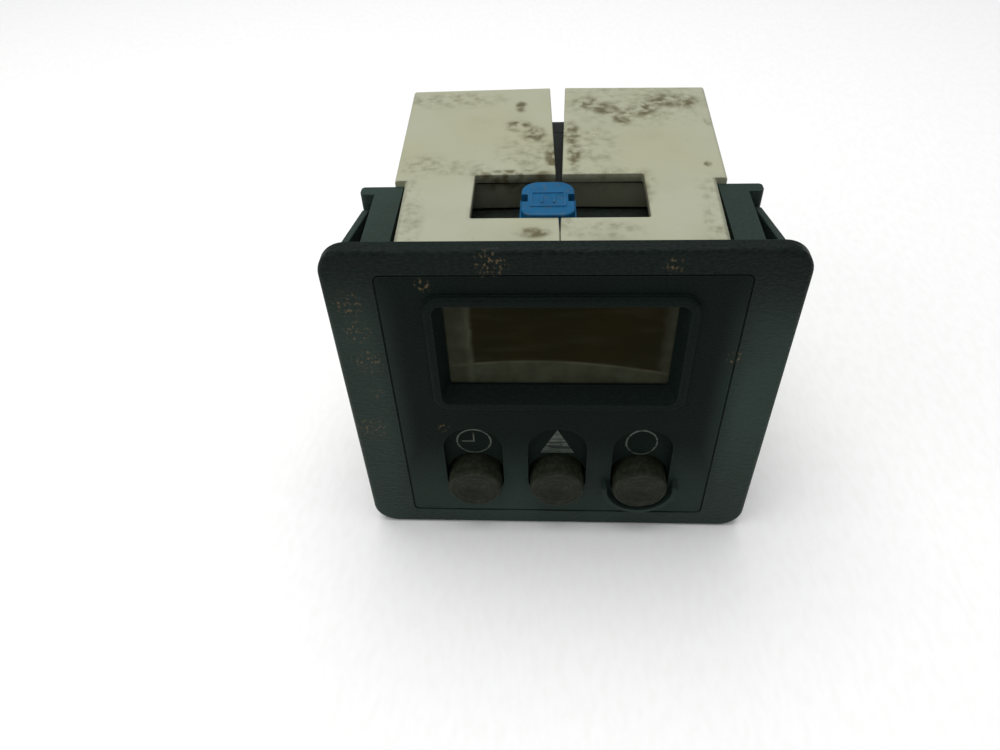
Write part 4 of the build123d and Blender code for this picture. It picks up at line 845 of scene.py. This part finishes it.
class TIMER_OT_housing(bpy.types.Operator):
    """The two cream housing halves with their dirt"""
    bl_idname = "timer.housing"
    bl_label = "Housing"

    def execute(self, context):
        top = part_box("right_shell")[1].z / MM
        right_marks = [((5.5, 55.2, top), 3.4, (1, 0.9, 1)), ((9.5, 52.6, top), 3.6, (0.9, 1, 1)),
                       ((12.3, 48.6, top), 3.2, (1.2, 0.8, 1)), ((16.1, 52.2, top), 4.2, (1, 0.9, 1)),
                       ((20.8, 56.0, top), 4.4, (0.9, 1, 1)), ((25.0, 55.2, top), 3.6, (1, 0.9, 1)),
                       ((2.4, 42.5, top), 3.8, (1.7, 0.6, 1)), ((2.7, 34.0, top), 3.4, (1.9, 0.5, 1)),
                       ((25.9, 30.5, top), 1.2, (1.2, 0.8, 1)), ((28.2, 47.0, top), 1.6, (1.5, 0.6, 1))]
        right_fades = [((6.4, 37.5, top), 6.5, (1, 0.6, 1)), ((6.5, 10.1, top), 5.5, (0.6, 1.5, 1)),
                       ((0.9, 12.4, top), 2.6, (1.5, 0.7, 1)), ((15.0, 55.5, top), 14.0, (0.7, 1, 1)),
                       ((7.0, 28.2, top), 6.0, (0.6, 2.4, 1)), ((26.0, 22.5, top), 5.0, (1.2, 0.8, 1)),
                       ((24.6, 11.0, top), 6.0, (2.2, 0.6, 1)), ((14.6, 24.0, top), 4.0, (1.6, 0.6, 1))]
        left_marks = [((-7.2, 54.0, top), 2.2, (1.3, 0.7, 1)), ((-7.6, 45.8, top), 3.4, (1, 1.1, 1)),
                      ((-4.4, 42.4, top), 3.4, (1.2, 0.8, 1)), ((-4.3, 9.5, top), 3.0, (0.8, 1.5, 1)),
                      ((-1.2, 34.0, top), 3.2, (1.8, 0.5, 1)), ((-8.0, 28.0, top), 5.0, (0.5, 3.0, 1))]
        left_fades = [((-5.4, 36.0, top), 7.0, (0.9, 0.7, 1)), ((-21.0, 57.4, top), 9.0, (0.6, 1.8, 1)),
                      ((-24.0, 31.0, top), 5.0, (0.9, 0.9, 1)), ((-26.0, 22.0, top), 4.0, (1.2, 0.7, 1)),
                      ((-24.6, 12.0, top), 8.0, (2.4, 0.7, 1)), ((-17.0, 30.0, top), 6.0, (0.7, 1.6, 1))]
        softness = context.scene.timer_sizes.edge_softness
        for side, marks, fades in (("right", right_marks, right_fades), ("left", left_marks, left_fades)):
            softened(side + "_shell", soiled_cream_abs("Soiled_cream_ABS_" + side, marks, fades), softness)
        return {"FINISHED"}


class TIMER_OT_link_plug(bpy.types.Operator):
    """The blue link plug"""
    bl_idname = "timer.link_plug"
    bl_label = "Link plug"

    def execute(self, context):
        softened("link_plug", handled_blue_nylon(), context.scene.timer_sizes.sheet_softness, "link_plug")
        return {"FINISHED"}


class TIMER_OT_inside(bpy.types.Operator):
    """Finishes of the pieces inside the housing and of the terminals at its back"""
    bl_idname = "timer.inside"
    bl_label = "Inside and terminals"

    def execute(self, context):
        black = moulded_polymer("Moulded_black_nylon", linear("#1b201d"), 0.5, 0.01, 0.55, 1.53)
        cover = moulded_polymer("Moulded_green_black_polycarbonate", linear("#161b15"), 0.8, 0.015, 0.5,
                                1.58)
        epoxy = moulded_polymer("Transfer_moulded_epoxy", linear("#1a1a1b"), 0.25, 0.008, 0.6, 1.55)
        plunger = moulded_polymer("Moulded_acetal", linear("#b9b4a6"), 0.3, 0.004, 0.35, 1.48)
        amber = moulded_polymer("Sealed_amber_polyester", linear("#a8641f"), 0.6, 0.006, 0.4, 1.55)
        sleeve = moulded_polymer("Shrunk_vinyl_sleeve", linear("#1b2740"), 1.6, 0.01, 0.28, 1.53)
        lacquer = moulded_polymer("Dipped_epoxy_lacquer", linear("#2a4a86"), 0.9, 0.03, 0.4, 1.55)
        strips = banded("Striped_silicone_contact", "#5f5f5c", "#20201f", 0.25, "X", 0.7)
        board = solder_masked_board()
        zinc = drawn_metal("Zinc_plated_steel", "#b8b7ae", 0.3, 0.35, (1, 1, 1))
        can = drawn_metal("Drawn_tinned_steel", "#b4b4ae", 0.4, 0.3, (1, 1, 0.1))
        brass = drawn_metal("Tinned_stamped_brass", "#b7ac8b", 0.3, 0.32, (1, 0.1, 1))
        core = banded("Stacked_silicon_steel", "#5a5a5c", "#2c2b2a", 0.5, "Y", 0.45, 1.0)
        tape = banded("Polyester_winding_tape", "#b0892b", "#8a6a22", 3.0, "Z", 0.35)
        finishes = {
            "display_holder": black, "sounder": black, "link_header": black, "link_bar": black,
            "inner_cover": cover, "controller_chip": epoxy, "rectifier_diodes": epoxy,
            "relay": amber, "capacitors": sleeve, "backup_capacitor": sleeve, "varistor": lacquer,
            "contact_strips": strips, "display_board": board, "riser_board": board, "power_board": board,
            "board_screws": zinc, "crystal_can": can, "link_pins": brass, "board_link_pins": brass,
            "transformer_core": core, "transformer_coil": tape,
        }
        for side in KEY_SIDES:
            finishes[side + "_switch_body"] = black
            finishes[side + "_switch_plunger"] = plunger
        for node, material in finishes.items():
            give(node, material)
        softened("terminal_blades", brass, context.scene.timer_sizes.sheet_softness)
        softened("terminal_block", black, context.scene.timer_sizes.edge_softness)
        return {"FINISHED"}


# ---- stage ----------------------------------------------------------------------------------
def soft_box(name, size, energy, place, target):
    """A square soft light at a place, turned to its target."""
    light = bpy.data.lights.new(name, "AREA")
    light.size = size
    light.energy = energy
    lamp = bpy.data.objects.new(name, light)
    bpy.context.scene.collection.objects.link(lamp)
    lamp.location = place
    lamp.rotation_euler = (Vector(target) - Vector(place)).to_track_quat("-Z", "Y").to_euler()


def paper_floor(level):
    """A wide sheet of paper under the timer, with a slight wave so that it isn't dead flat."""
    shape = bmesh.new()
    count, half = 24, 1.6
    grid = []
    for i in range(count + 1):
        row = []
        for j in range(count + 1):
            x = half * (2 * i / count - 1)
            y = half * (2 * j / count - 1)
            away = max(0.0, math.hypot(x, y) - 0.3)
            wave = 1 + math.sin(5 * x) * math.cos(4 * y)
            row.append(shape.verts.new((x, y, level - 0.002 * away * wave)))
        grid.append(row)
    for i in range(count):
        for j in range(count):
            shape.faces.new((grid[i][j], grid[i + 1][j], grid[i + 1][j + 1], grid[i][j + 1]))
    mesh_data = bpy.data.meshes.new("paper_floor")
    shape.to_mesh(mesh_data)
    shape.free()
    mesh_data.materials.append(studio_paper())
    mesh_data.shade_smooth()
    floor = bpy.data.objects.new("paper_floor", mesh_data)
    bpy.context.scene.collection.objects.link(floor)


class TIMER_OT_stage(bpy.types.Operator):
    """Pale floor, soft lights and the camera"""
    bl_idname = "timer.stage"
    bl_label = "Stage"

    def execute(self, context):
        scene = context.scene
        scene.view_settings.view_transform = "Standard"
        paper_floor(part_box("bezel")[0].z)
        world = bpy.data.worlds.new("Studio")
        world.use_nodes = True
        world.node_tree.nodes["Background"].inputs["Color"].default_value = opaque(linear("#fbfdff"))
        world.node_tree.nodes["Background"].inputs["Strength"].default_value = 0.34
        scene.world = world
        soft_box("Top_softbox", 0.7, 5.4, (-0.05, 0.1, 0.75), (0, 0.02, 0))
        soft_box("Left_softbox", 0.5, 0.95, (-0.6, -0.25, 0.4), (0, 0, 0))
        soft_box("Front_softbox", 0.5, 0.2, (0.3, -0.7, 0.35), (0, 0, 0))
        lens = bpy.data.cameras.new("Camera")
        lens.sensor_width = SENSOR_WIDTH
        lens.lens = CAMERA_LENS
        lens.clip_start = 0.005
        camera = bpy.data.objects.new("Camera", lens)
        scene.collection.objects.link(camera)
        camera.location = CAMERA_PLACE
        camera.rotation_euler = [math.radians(angle) for angle in CAMERA_TURN]
        scene.camera = camera
        return {"FINISHED"}


class TIMER_PT_sidebar(bpy.types.Panel):
    """Lists the timer's pieces, sizes and colours"""
    bl_idname = "TIMER_PT_sidebar"
    bl_label = "Panel Timer"
    bl_space_type = "VIEW_3D"
    bl_region_type = "UI"
    bl_category = "Panel Timer"

    def draw(self, context):
        for operator in OPERATORS:
            self.layout.operator(operator.bl_idname)
        for group in (context.scene.timer_sizes, context.scene.timer_colours):
            for name in group.__annotations__:
                self.layout.prop(group, name)


OPERATORS = (TIMER_OT_stage, TIMER_OT_front, TIMER_OT_display, TIMER_OT_keys, TIMER_OT_symbols,
             TIMER_OT_housing, TIMER_OT_link_plug, TIMER_OT_inside)
CLASSES = (TimerSizes, TimerColours, *OPERATORS, TIMER_PT_sidebar)


def register():
    """Adds the classes and the scene's timer settings."""
    for cls in CLASSES:
        bpy.utils.register_class(cls)
    bpy.types.Scene.timer_sizes = PointerProperty(type=TimerSizes)
    bpy.types.Scene.timer_colours = PointerProperty(type=TimerColours)


def unregister():
    """Removes what register added."""
    del bpy.types.Scene.timer_colours
    del bpy.types.Scene.timer_sizes
    for cls in reversed(CLASSES):
        bpy.utils.unregister_class(cls)


def main():
    """Builds the timer and its stage."""
    register()
    bpy.ops.timer.stage()
    bpy.ops.timer.front()
    bpy.ops.timer.display()
    bpy.ops.timer.keys()
    bpy.ops.timer.symbols()
    bpy.ops.timer.housing()
    bpy.ops.timer.link_plug()
    bpy.ops.timer.inside()


if __name__ == "__main__":
    main()
